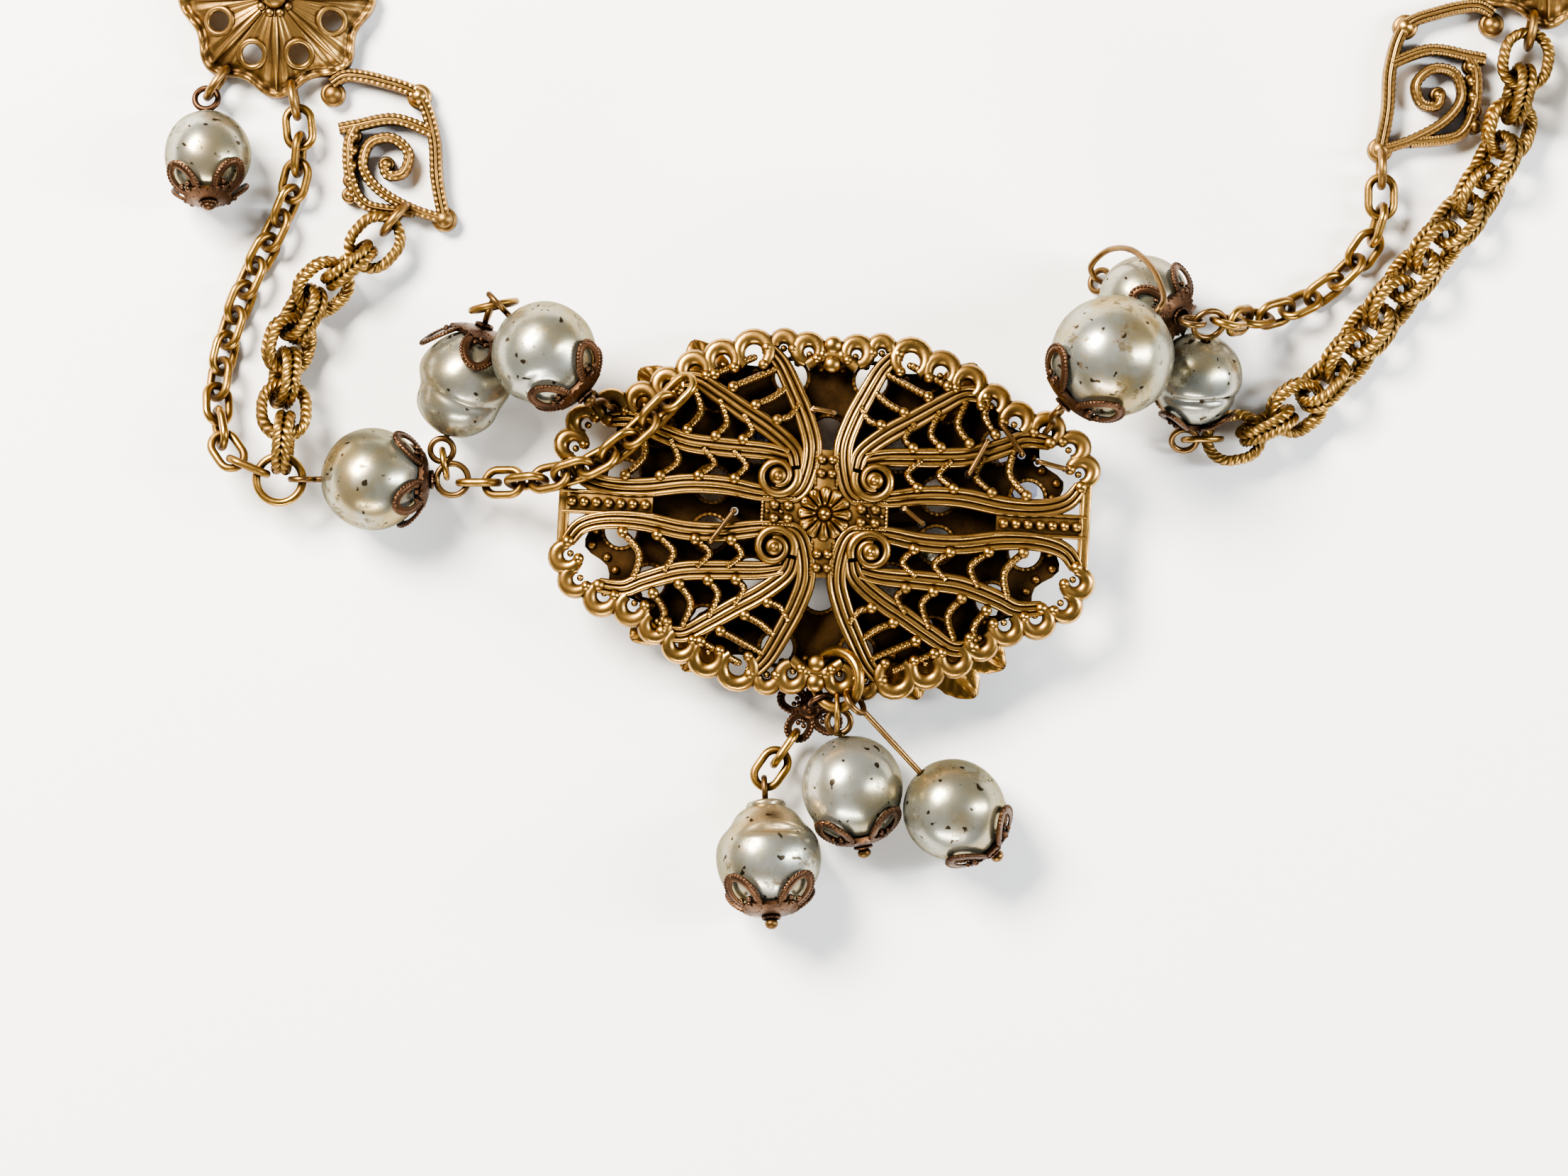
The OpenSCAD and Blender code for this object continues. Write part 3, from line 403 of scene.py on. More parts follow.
# Ball, bend and foot
HOOKS = [
    (8.6, 2.9, 7.6, 4.2, 8.9, 5.5), (12, 3, 10.6, 4.2, 11.7, 5.6),
    (15.6, 2.8, 14, 4.3, 14.8, 6.2), (18.9, 2.7, 17.2, 4.6, 17.6, 7.1),
    (8, 6.6, 7.2, 7.5, 8.1, 9), (10.6, 6.8, 9.6, 8.1, 10.4, 10.3),
    (13.3, 7.3, 12.1, 9, 12.8, 11.3), (15.7, 8.3, 14.6, 9.9, 14.9, 11.3),
    (4.9, 8.6, 3.7, 9, 2.9, 10.2), (7, 9.9, 5.5, 10.6, 4.2, 11.6), (9.2, 11.5, 7.7, 12.2, 5.1, 13.5),
    (11, 12.6, 9.6, 13.3, 7.4, 14.4),
]
VOLUTE = (4.55, 3.35)
ROSETTE_R, PETAL_FROM, BOSS_R, RIDGE_H = 2.62, 0.75, 0.62, 0.3


def pressed(width, depth, u, top):
    """Section of a bar of sheet whose face is at the heights top, from edge to edge at u."""
    return np.vstack([[-width / 2, -depth], [width / 2, -depth],
                      np.column_stack([u * width / 2, top])])


def ridged():
    """Section of a stem with three round ridges, the outer ones the larger."""
    u = np.linspace(1, -1, 25)
    top = 0.02 + (0.72 + 0.28 * np.abs(u)) * RIDGE_H * np.abs(np.cos(1.5 * math.pi * u)) ** 0.6
    top[0] = top[-1] = -0.1
    return pressed(STEM_W, SHEET_T, u, top)


def rounded(width, height, depth=SHEET_T, points=7):
    """Section of a bar with a round face."""
    u = np.linspace(1, -1, points)
    return pressed(width, depth, u, height * np.sqrt(np.clip(1 - u ** 2, 0, 1)) - 0.02)


def plate_quarter(shape, mx, my):
    flip = np.array([mx, my])
    for stem in STEMS:
        line = even(smooth(stem, 8), 0.36) * flip
        s = np.linspace(0, 1, len(line))
        wide = 1.25 + 0.35 * np.sin(s * math.pi) ** 0.7 - 0.1 * s
        shape.sweep(on_plate(line), ridged(), grow=np.column_stack([wide, np.ones(len(s))]))
        shape.ball(on_plate(line[-1], 0.12), 0.62, 7, 10, 0.8)
    for x, y, r, a0, a1 in CURLS:
        a = np.radians(np.linspace(a0, a1, 16))
        line = arc(x, y, r, a) * flip
        s = np.linspace(0, 1, len(line))
        wide = 0.85 + 0.5 * np.sin(s * math.pi)
        shape.sweep(on_plate(line), rounded(1.15, 0.48, points=9),
                    grow=np.column_stack([wide, np.minimum(wide, 1.15)]))
        shape.ball(on_plate(line[-1], 0.1), 0.55, 7, 10)
        a = math.radians((a0 + a1) / 2 + 180)
        shape.ball(on_plate(arc(x, y, 0.35 * r, a)[0] * flip, -0.15), 0.36, 6, 8)
    for bx, by, cx, cy, fx, fy in HOOKS:
        line = smooth([(bx, by), (cx, cy), (fx, fy)], 8) * flip
        shape.sweep(on_plate(line, -0.12), rounded(0.72, 0.2, 0.5, 5))
        shape.milled(on_plate(line, 0.1), 0.36, 0.5)
        shape.ball(on_plate(line[0], 0.16), 0.56, 8, 10, 0.85)
    a = np.radians(np.linspace(160, 640, 44))
    s = np.linspace(0, 1, len(a))
    r = 1.95 - 1.12 * s
    line = arc(*VOLUTE, r, a) * flip
    wide = 1.0 - 0.4 * s
    shape.sweep(on_plate(line, 0.1 + 0.25 * s), rounded(1.0, 0.42, 0.75),
                grow=np.column_stack([wide, np.ones(len(s))]))
    middle = on_plate(np.array(VOLUTE) * flip, 0.5)
    shape.ball(middle, 0.85, 8, 18, 0.55)
    shape.ball(middle + [0, 0, 0.35], 0.48, 8, 14)


def slab(shape, x0, y0, x1, y1, top):
    """A flat stretch of sheet that follows the dome."""
    xs = np.linspace(x0, x1, max(2, int(abs(x1 - x0)) + 1))
    ys = np.linspace(y0, y1, max(2, int(abs(y1 - y0)) + 1))
    if len(xs) >= len(ys):
        line = np.column_stack([xs, np.full(len(xs), (y0 + y1) / 2)])
        w = abs(y1 - y0)
    else:
        line = np.column_stack([np.full(len(ys), (x0 + x1) / 2), ys])
        w = abs(x1 - x0)
    shape.sweep(on_plate(line), [(-w / 2, -SHEET_T), (w / 2, -SHEET_T), (w / 2, top - 0.06),
                                 (w / 2 - 0.1, top), (-w / 2 + 0.1, top), (-w / 2, top - 0.06)])


def rosette(shape):
    """Twelve petals pressed as a height field over a disc."""
    petals, rows, sides = 12, 20, 144
    r = np.linspace(0.02, ROSETTE_R, rows)[:, None]
    a = around(sides)[None]
    lobe = np.abs(np.cos(a * petals / 2))
    reach = ROSETTE_R - 0.30 * (1 - lobe ** 0.7)
    along = np.clip((r - PETAL_FROM) / (reach - PETAL_FROM), 0, 1)
    petal = np.sin(along * math.pi) ** 0.5 * lobe ** 0.55
    groove = 0.16 * np.exp(-((lobe - 1) / 0.05) ** 2) * (along > 0.15) * (along < 0.8)
    boss = BOSS_R * np.sqrt(np.clip(1 - (r / BOSS_R) ** 2, 0, 1))
    h = 0.12 + 0.5 * petal - groove + boss
    h = np.where(r > reach, -0.2, h)
    top = np.stack([r * np.cos(a), r * np.sin(a)], -1)
    skirt = on_plate(top[-1:], np.full((1, sides), -SHEET_T))
    shape.lattice(np.concatenate([on_plate(top, h), skirt]))


def back_plate():
    shape = Shape()
    for mx in (1, -1):
        for my in (1, -1):
            plate_quarter(shape, mx, my)
    slab(shape, -5.9, -1.35, 5.9, 1.35, 0.05)
    slab(shape, -1.1, -6, 1.1, 6, 0.1)
    rosette(shape)
    for side in (-1, 1):
        for along in (3.45, 4.75):
            for across in (-0.62, 0.62):
                shape.ball(on_plate((side * along, across), 0.2), 0.5, 8, 12)
                shape.ball(on_plate((across * 0.8, side * (along + 0.35)), 0.22), 0.46, 8, 12)
            shape.ball(on_plate((side * (along + 0.65), 0), 0.1), 0.24, 6, 8)
        for edge in (-1.28, 1.28):
            shape.milled(on_plate([(side * 2.6, edge), (side * 5.85, edge)], 0.1), 0.2, 0.36)
            shape.milled(on_plate([(edge * 0.8, side * 2.6), (edge * 0.8, side * 5.9)], 0.14),
                         0.18, 0.36)
        shape.milled(on_plate([(side * 5.85, -1.2), (side * 5.85, 1.2)], 0.1), 0.2, 0.36)
        slab(shape, side * 16.2, -0.95, side * HALF_L, 0.95, 0)
        slab(shape, side * (HALF_L - 1), -4.2, side * HALF_L, 4.2, 0.18)
        for edge in (-0.98, 0.98):
            shape.wire(on_plate([(side * 16, edge), (side * (HALF_L - 0.3), edge)], 0.12), 0.2, 8, UP)
        for across in (-0.1, -0.75):
            shape.wire(on_plate([(side * (HALF_L + across), -4.1), (side * (HALF_L + across), 4.1)],
                                0.16), 0.17, 8, UP)
        for k in range(7):
            shape.ball(on_plate((side * (16.9 + k * 1.15), 0), 0.18), 0.5, 8, 12)
        shape.ball(on_plate((0, side * 15.9), 0.05), 0.95, 10, 14, 0.7)
        shape.ball(on_plate((0, side * 14.1), 0.05), 0.85, 10, 14, 0.7)
        for across in (0.9, -0.9):
            shape.ball(on_plate((across, side * 15), 0), 0.6, 8, 12, 0.8)
        shape.sweep(on_plate(smooth([(-2.4, side * 13.9), (-1.2, side * 14.7), (0, side * 14.95),
                                     (1.2, side * 14.7), (2.4, side * 13.9)], 6)),
                    rounded(1.15, 0.4))
    finish_piece("filigree_back", shape, ["back_plate"], GOLD)


# Front cluster
# Count, part of the way out and radius of each row of holes
HOLE_ROWS = [(16, 0.78, 1.5), (10, 0.45, 1.6)]
EDGE_BEADS, BEAD_R, STAPLE_R = 66, 0.42, 0.25
# Tip of each leaf and the angle at which it points, then a leaf's sizes and height
LEAVES = [
    (-12.5, 16.6, 115), (-17.6, 13.8, 140), (-20, 11, 150), (-18.4, -11.9, 215),
    (-13.4, -14.9, 235), (14.4, 14.4, 60), (9, -17.6, -65), (14.4, -17.4, -50), (17.2, -14.6, -35),
]
LEAF_L, LEAF_W, LEAF_T, LEAF_Z = 9.0, 4.6, 0.7, 3.4
# Middle and radius of each small pearl, and the two ends of each wire on the back
FRONT_PEARLS = [(-14.2, 1.7, 2.1), (6.5, 9.4, 2.1), (-5, -9.5, 2.1), (11, -5, 2.1)]
STAPLES = [
    ((-10.7, -2.6), (-8.5, 0.3)), ((-1.1, 9.9), (0.9, 9.5)), ((7.48, 0.51), (9.2, -0.9)),
    ((13.64, 3.81), (15.35, 6.86)), ((22.7, 4.24), (20.2, 4.9)), ((18.65, 5.6), (16.63, 8.42)),
]


def front_trim():
    """Rolled rims of the front plate's holes and the beads round its edge."""
    shape = Shape()
    for count, part, r in HOLE_ROWS:
        for a in around(count) + math.pi / count:
            mid = turned(HALF_L * part * math.cos(a), HALF_W * part * math.sin(a))
            ring = circle((*mid, FRONT_Z + FRONT_T), UP, r + 0.22, 28)
            shape.milled(ring, 0.24, 0.5, closed=True)
    for a in around(EDGE_BEADS):
        e = 1 + 0.025 * math.cos(a * 22)
        mid = turned((HALF_L - 2.9) * e * math.cos(a), (HALF_W - 2.8) * e * math.sin(a))
        shape.ball((*mid, FRONT_Z + FRONT_T), BEAD_R, 6, 8)
    finish_piece("front_plate_trim", shape, [], SHADED_FRONT_TRIM)


def leaf(shape, x, y, turn):
    """A pressed leaf: midrib, side veins and a slightly toothed edge."""
    rows, half = 36, 9
    s = np.linspace(0.012, 0.995, rows)  # the very ends would have no width
    width = LEAF_W / 2 * np.sin(math.pi * s ** 0.75)
    width *= 1 - 0.05 * np.abs(np.sin(s * 26))
    u = np.linspace(-1, 1, 2 * half + 1)
    along = -LEAF_L * s[:, None]
    across = width[:, None] * u[None]
    vein = 0.14 * np.abs(np.sin((s[:, None] * 9 + np.abs(u)[None] * 1.6) * math.pi))
    rib = 0.22 * np.exp(-(u / 0.12) ** 2)[None]
    top = LEAF_T - 0.18 + rib - vein * (np.abs(u)[None] > 0.12) * 0.8
    top = np.minimum(top, LEAF_T + 0.05) - 0.25 * np.abs(u)[None] ** 3
    c, w = math.cos(math.radians(turn)), math.sin(math.radians(turn))
    up_side = np.stack([x + along * c - across * w, y + along * w + across * c, LEAF_Z + top], -1)
    low = up_side.copy()
    low[..., 2] = LEAF_Z + 0.02
    shape.lattice(np.concatenate([up_side, low[:, ::-1]], 1))


def front_cluster():
    for side, name in ((-1, "leaves_left"), (1, "leaves_right")):
        shape = Shape()
        for x, y, turn in LEAVES:
            if x * side > 0:
                leaf(shape, x, y, turn)
        finish_piece("gilt_" + name, shape, [name], LEAF_GOLD)
    for i, (x, y, r) in enumerate(FRONT_PEARLS):
        shape = Shape()
        pearl(shape, (x, y, r), UP, (r, 1, 0, 0, 0, 90), 32, 24, i, 0.0)
        finish_piece(f"small_pearl_{i + 1}", shape, [f"front_pearl_{i + 1}"], PEARL[i % 3])
    shape = Shape()
    for a, b in STAPLES:
        top = [dome(*a) + 0.9, dome(*b) + 0.9]
        d = np.array([b[0] - a[0], b[1] - a[1], top[1] - top[0]])
        first, last = np.array([a[0], a[1], top[0]]), np.array([b[0], b[1], top[1]])
        line = smooth([(a[0], a[1], 4.15), (a[0], a[1], top[0] - 0.3), first + d * 0.08,
                       first + d * 0.5 + [0, 0, 0.08], last - d * 0.08,
                       (b[0], b[1], top[1] - 0.3), (b[0], b[1], 4.15)], 6)
        shape.wire(line, STAPLE_R, 10)
    finish_piece("binding_wire", shape, ["binding_wires"], WIRE)


# Pearls, caps and pins
# Middle, way of the capped end, shape (radius, stretch, lump, its angle, waist, its angle)
# and turn of the cap
GEMS = [
    ((-42.7, 3.3, 4.9), (1, 0, 0), (4.85, 1, 0, 0, 0, 90), 31),
    ((-34, 12.3, 5.2), (0.33, 0.94, 0.15), (4.6, 1.12, 0.08, 30, 0.16, 105), 7),
    ((-26.2, 15, 11.15), (0.66, -0.7, 0.1), (4.95, 0.98, 0.03, 200, 0.03, 60), 45),
    ((26.8, 14.7, 13.6), (-0.7, -0.7, -0.1), (5.75, 1, 0.03, 40, 0.02, 120), 45),
    ((30.2, 20.2, 5.6), (0.646, -0.333, 0.6875), (4.25, 1.02, 0.02, 90, 0, 90), 5),
    ((35.2, 12.78, 6), (-0.14, -0.81, -0.57), (4.25, 1.02, 0.03, 0, 0.1, 80), 30),
    ((-5.3, -32.4, 5.1), (0.05, -0.965, 0.26), (5, 1.02, 0, 0, 0.13, 128), 45),
    ((2.6, -25.85, 5), (0.19, -0.98, -0.07), (4.8, 1.03, 0.02, 60, 0, 90), 45),
    ((12.3, -27.9, 5), (0.66, -0.715, -0.23), (4.8, 1.02, 0.02, 240, 0, 90), 45),
]
GEM_NODES = [f"pearl_{k}" for k in range(1, 7)] + [f"drop_pearl_{k}" for k in "abc"]
# Polar angle, turn, depth and half length of the grooves
CREASES = {"pearl_2": (98, 10, 0.05, 110), "pearl_6": (80, -20, 0.09, 100),
           "drop_pearl_a": (103, -16, 0.13, 52), "pearl_3": (62, 60, 0.03, 60)}
STATION_GEM = ((-18.15, 5.6, 4.3), (0.05, -0.93, 0.36), (4.1, 1.05, 0, 0, 0, 90))
STATION_HEAD, STATION_EYE = 0.9, 1.6  # how far its pin's head and its eye's middle stand out
# Where each station's own frame lies, and -1 where it's mirrored
STATION_ENDS = [(-40.2, 28.4, 1), (57, 35, -1)]
PEARL = [nacre(f"pearl_nacre_{k}", 0.03 * k, s) for k, s in ((0, 0.55), (1, 1.0), (2, 0.75))]
WORN_SPOT = (np.array([-4.9, -28.4, 7.6]) - MIDDLE) * MM
WORN_PEARL = nacre("pearl_nacre_worn", 0.03, 0.9, tuple(WORN_SPOT))


def pearl(shape, centre, axis, form, sides, rows, seed, bumps=1.0, crease=None):
    """A baroque pearl drilled along its axis; a crease is a groove's polar angle, its turn
    from the top of the lying pearl, its depth and its half length."""
    r0, stretch, lump, lump_a, waist, waist_a = form
    first = math.asin(BORE_D / 2 / r0)
    t = np.linspace(first, math.pi - first, rows)[:, None]
    a = around(sides)[None]
    la = math.radians(lump_a)
    r = 1 + lump * np.sin(t) ** 2 * (1 - np.cos(t)) / 2 * np.cos(a - la)
    r += 0.012 * np.sin(2 * t + math.pi / 3) * np.sin(3 * a + la)
    r -= waist * np.exp(-((np.degrees(t) - waist_a) / 15) ** 2) * (0.65 + 0.35 * np.cos(a - la))
    if crease:
        polar, turn, depth, length = crease
        top = basis(axis).T @ [0, 0, 1]
        off = a - math.atan2(top[1], top[0]) - math.radians(turn)
        off = np.degrees(np.abs((off + math.pi) % (2 * math.pi) - math.pi))
        bend = polar + 10 * np.cos(np.radians(np.minimum(off, 90) * 1.5))
        r -= (depth * np.exp(-((np.degrees(t) - bend) / 5.5) ** 2)
              * 0.5 * (1 + np.cos(np.pi * np.minimum(off / length, 1))))
    rough = np.random.default_rng(seed + 40)
    for k in range(5):
        m, n, p, q = rough.integers(2, 7), rough.integers(2, 7), *rough.random(2) * 6.28
        r += bumps * 0.0035 * np.sin(t * n + p) * np.sin(a * m + q) * np.sin(t)
    r = r * r0
    z = r * stretch * np.cos(t)
    rim = r * np.sin(t)
    rim[0] = rim[-1] = BORE_D / 2
    z[0], z[-1] = z[0].mean(), z[-1].mean()
    p = np.stack([rim * np.cos(a), rim * np.sin(a), z], -1)
    shape.lattice(p @ basis(axis).T + centre, loop=True)


def collar(shape, centre, axis):
    """Flared lip of nacre round the bare end's hole, with a crescent groove under it."""
    a = around(48)
    skew = 0.5 + 0.5 * np.cos(a - 0.9)
    rows = []
    for r, z, lean in ((0.5, -4.6, 0), (0.5, -5.3, 0), (1.3, -5.38, 0), (1.75, -5.2, 0.05),
                       (1.85, -4.95, 0.1), (1.6, -4.65, 0.1), (1.62, -4.4, 0.3), (1.9, -3.9, 0.5)):
        q = r + lean * skew
        rows.append(np.stack([q * np.cos(a), q * np.sin(a), z - 0.12 * skew], -1))
    shape.lattice(np.array(rows) @ basis(axis).T + centre, loop=True)


# Gap under a cap, then its petals' polar angle and how far their loops narrow inwards
CAP_GAP, PETAL_POLAR, PETAL_POINT = 0.15, 0.716, 0.12


def petal_loop(r, half_long, half_wide, turn):
    """A closed loop laid on a ball of radius r, round the middle of one petal of a cap."""
    s = around(40)
    along = half_long * np.cos(s)
    wide = half_wide * np.sin(s) * (1 - PETAL_POINT * np.cos(s))
    return on_ball(r, PETAL_POLAR + along, turn + wide / np.sin(PETAL_POLAR + along * 0.35))


def cap(shape, centre, axis, reach, turn):
    """Cap of four pierced petals round a small pressed dome."""
    foot = reach + CAP_GAP
    m = basis(axis).T
    put = lambda p: p @ m + centre
    t = np.linspace(math.asin(0.46 / foot), math.asin(0.5 * reach / foot), 9)
    a = around(48)
    scallop = 1 + 0.10 * np.cos(4 * (a - math.radians(turn)))[None] * np.linspace(0, 1, 9)[:, None]
    th = t[:, None] * scallop
    relief = 0.10 * np.cos(24 * a)[None] * np.linspace(0, 1, 9)[:, None] ** 2
    dirs = on_ball(1, th, a)
    outer = dirs * (foot + 0.5 + relief)[..., None]
    inner = dirs * (foot + 0.02)
    shape.lattice(put(np.concatenate([outer, inner[::-1]])), loop=True)
    shape.milled(put(circle((0, 0, foot + 0.62), UP, 0.75, 48)), 0.2, 0.35, 6, axis, True)
    for k in range(4):
        ph = math.radians(turn + 90 * k)
        loop = put(even(petal_loop(foot + 0.3, 0.37, 0.25, ph), 0.12, True))
        out = loop - centre
        shape.sweep(loop, [(-0.40, -0.13), (0.40, -0.13), (0.42, 0.02), (0.25, 0.16), (-0.25, 0.12),
                           (-0.42, 0.0)], unit(out), True)
        edge = put(even(petal_loop(foot + 0.36, 0.42, 0.30, ph), 0.1, True))
        shape.milled(edge, 0.2, 0.34, 6, unit(edge.mean(0) - centre), True)
        for along, across, r in ((-0.20, 0.0, 0.36), (-0.08, -0.09, 0.27), (-0.08, 0.09, 0.27),
                                 (0.40, 0.0, 0.24)):
            th = PETAL_POLAR + along
            q = ph + across / math.sin(th)
            shape.ball(put(on_ball(foot + 0.34, th, q)), r, 6, 10)


# How far the eyes' middles stand out at the capped and the bare end, the ways that the eyes
# face, and their radii
PINS = [
    (2.7, 1.8, UP, (0, 1, 0), 1.5, EYE_R),
    (2.25, 1.5, (-0.94, 0.33, 0), UP, EYE_R, EYE_R),
    (0, 1.7, UP, (0.71, 0.67, 0), 0, EYE_R),
    (0, 0, UP, UP, 0, 0),
    (2.25, 1.8, (0.113, 0.866, 0.313), UP, EYE_R, EYE_R),
    (2.7, 1.83, (0, -0.6, 0.8), (0.27, -0.606, 0.748), 1.2, 1.5),
    (0, 1.5, UP, (1, 0, 0), 0, EYE_R),
    (0, 1.45, UP, UP, 0, EYE_R),
    (0, 9.38, UP, (-0.716, -0.537, -0.383), 0, 1.2),
]
HEAD, HEAD_R = 1.35, 0.65  # how far a pin's head stands out, and its radius
WRAP_R = 1.38  # a pin's turn round a chain link's wire


def circle(centre, normal, r, steps=40):
    a = around(steps)
    p = np.stack([r * np.cos(a), r * np.sin(a), 0 * a], -1)
    return p @ basis(normal).T + centre


def pin(shape, i):
    """A straight pin through a pearl and its cap, with an eye or a head at each end."""
    centre, axis, form, _ = GEMS[i]
    axis = unit(axis)
    reach = form[0] * form[1]
    centre = np.array(centre)
    for end in (0, 1):
        out, facing, loop_r = PINS[i][end], PINS[i][2 + end], PINS[i][4 + end]
        way = axis if end == 0 else -axis
        stop = reach + (out - loop_r if out > 0 else HEAD)
        shape.wire(np.array([centre, centre + way * stop]), PIN_WIRE / 2, 10)
        if out > 0:
            mid = centre + way * (reach + out)
            across = np.cross(way, facing)
            normal = unit(np.cross(across, way))
            shape.wire(circle(mid, normal, loop_r), PIN_WIRE / 2, 10, normal, True)
        else:
            shape.ball(centre + way * (reach + HEAD), HEAD_R, 8, 12, 0.8, way)


def wrap(c, o, first, last):
    """A stretch of wire bent round c, in the upright plane that holds the plane way o."""
    a = np.radians(np.linspace(first, last, 9))
    return c + WRAP_R * np.stack([o[0] * np.cos(a), o[1] * np.cos(a), np.sin(a)], -1)


def bore_4(t):
    """A point on the axis of pearl 4."""
    return GEMS[3][0] + unit(GEMS[3][1]) * t


# Pins bent to a shape of their own: pearl 3's second wire, which hooks it to a link, and
# pearl 4's, which runs from a link through the pearl and over pearl 5 to the table
BENT_PINS = {
    "pearl_3": np.vstack([[(-21.97, 10.5, 11.79), (-21.7, 10.4, 10.3), (-21.1, 10.6, 8.8)],
                          wrap((-20.9, 10.7, 6.75), (-0.77, 0.64), 100, 400)]),
    "pearl_4": np.vstack([wrap((21.64, 8.76, 6.75), (0.6, 0.8), 400, 100),
                          [(21.4, 8.8, 8.8), (21.2, 9, 11)],
                          [bore_4(t) for t in (7.4, 6.4, 5, -5, -6.2)],
                          [(31.6, 20.3, 13.2), (30.7, 22.9, 11.1), (28.9, 24.8, 8.3), (26.9, 25.0, 5),
                           (25.35, 23.65, 3), (25.65, 22.6, 2.05), (26.24, 22.24, 1.38),
                           (26.75, 21.98, 0.8)]]),
}


def pearls_and_caps():
    for i, (centre, axis, form, turn) in enumerate(GEMS):
        name = GEM_NODES[i]
        shape = Shape()
        pearl(shape, centre, axis, form, 72, 72, i, 1.0, CREASES.get(name))
        if name == "drop_pearl_a":
            collar(shape, centre, axis)
        coat = WORN_PEARL if name == "drop_pearl_a" else PEARL[(i * 2 + 1) % 3]
        finish_piece("nacre_" + name, shape, [name], coat, 80)
        cap_node, pin_node = name.replace("pearl", "cap"), name.replace("pearl", "pin")
        shape = Shape()
        cap(shape, centre, axis, form[0] * form[1], turn)
        finish_piece("filigree_" + cap_node, shape, [cap_node], COPPER)
        shape = Shape()
        if name != "pearl_4":
            pin(shape, i)
        if name in BENT_PINS:
            shape.wire(smooth(BENT_PINS[name], 4), PIN_WIRE / 2, 10)
        finish_piece("wire_" + pin_node, shape, [pin_node], WIRE)


# Chains and rings
def loose_parts(name):
    """Points of each loose solid of a CAD node, in millimetres about the rosette."""
    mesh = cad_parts[name].data
    co = np.empty(len(mesh.vertices) * 3)
    mesh.vertices.foreach_get("co", co)
    ends = np.empty(len(mesh.edges) * 2, dtype=np.int64)
    mesh.edges.foreach_get("vertices", ends)
    co = co.reshape(-1, 3) / MM + MIDDLE
    _, first, inverse = np.unique(np.round(co * 500).astype(np.int64), axis=0,
                                  return_index=True, return_inverse=True)
    inverse = inverse.reshape(-1)
    a, b = inverse[ends[::2]], inverse[ends[1::2]]
    label = np.arange(len(first))
    while True:
        low = np.minimum(label[a], label[b])
        new = label.copy()
        np.minimum.at(new, a, low)
        np.minimum.at(new, b, low)
        new = new[new]
        if (new == label).all():
            break
        label = new
    points = co[first]
    return [points[label == k] for k in np.unique(label)]


def placed(points):
    """Middle and axes of a link or ring: along it, across it and square to it."""
    mid = points.mean(0)
    _, axes = np.linalg.eigh(np.cov((points - mid).T))
    axes = axes[:, ::-1].T
    local = (points - mid) @ axes.T
    low, high = local.min(0), local.max(0)
    return mid + ((low + high) / 2) @ axes, axes, high - low


def link_line(length, width, wire, steps=18):
    r, s = (width - wire) / 2, (length - width) / 2
    a = np.linspace(-math.pi / 2, math.pi / 2, steps)
    right = np.column_stack([s + r * np.cos(a), r * np.sin(a)])
    return np.vstack([right, -right])


LINK_STEP = 0.26
# Length of a twist, sides of the wire and step along it, for the links that the photo shows
# and for those at the back of the neck
ROPE_NEAR, ROPE_FAR = (0.62, 12, 0.15), (0.95, 8, 0.31)


def link(shape, points, size, rope=None):
    """One chain link laid where the CAD has it, plain or twisted like a rope."""
    mid, axes, _ = placed(points)
    length, width, wire, gap = size
    line = link_line(length, width, wire)
    for side in ((-1, 1) if gap else (0,)):
        path = mid + line[:, :1] * axes[0] + line[:, 1:] * axes[1] + axes[2] * side * gap / 2
        if rope:
            turn, sides, step = rope
            shape.rope(path, wire / 2, turn * side, sides, axes[2], step)
        else:
            shape.wire(even(path, LINK_STEP, True), wire / 2, 10, axes[2], True)


def chains():
    for name in ("plate_chain", "fine_chain_left", "fine_chain_right"):
        shape = Shape()
        for part in loose_parts(name):
            link(shape, part, FINE_LINK)
        finish_piece("links_" + name, shape, [name], LINK_GOLD)
    for name, rope in (("heavy_chain_left", ROPE_NEAR), ("heavy_chain_right", ROPE_NEAR),
                       ("back_chain_left", ROPE_FAR), ("back_chain_right", ROPE_FAR)):
        shape = Shape()
        for part in loose_parts(name):
            link(shape, part, HEAVY_LINK, rope)
        finish_piece("rope_" + name, shape, [name], ROPE_GOLD)
    shape = Shape()
    for part in loose_parts("joining_rings"):
        mid, axes, size = placed(part)
        if size[0] > 1.2 * size[1]:
            link(shape, part, FINE_LINK)
        else:
            wire = size[2]
            shape.wire(circle(mid, axes[2], (size[0] - wire) / 2, 56), wire / 2, 10, axes[2], True)
    finish_piece("rings", shape, ["joining_rings"], LINK_GOLD)


# Middle, way that it faces, radius and wire of the ring through the plate's lower edge
DROP_HOOK = ((1.2, -15.6, 7.2), (-0.62, 0, 0.79), 2.65, 1.0)
FLOWER_AT = np.array([-1.35, -18.53, 3.4])
FLOWER_EYE, EYE_WAY = np.array([-0.35, -17.6, 5.85]), (-0.35, 0.85, -0.39)
FLOWER_TURN, PETAL_SINK = math.radians(58), math.radians(12)
FLOWER_PETAL = (3.2, 2.8)


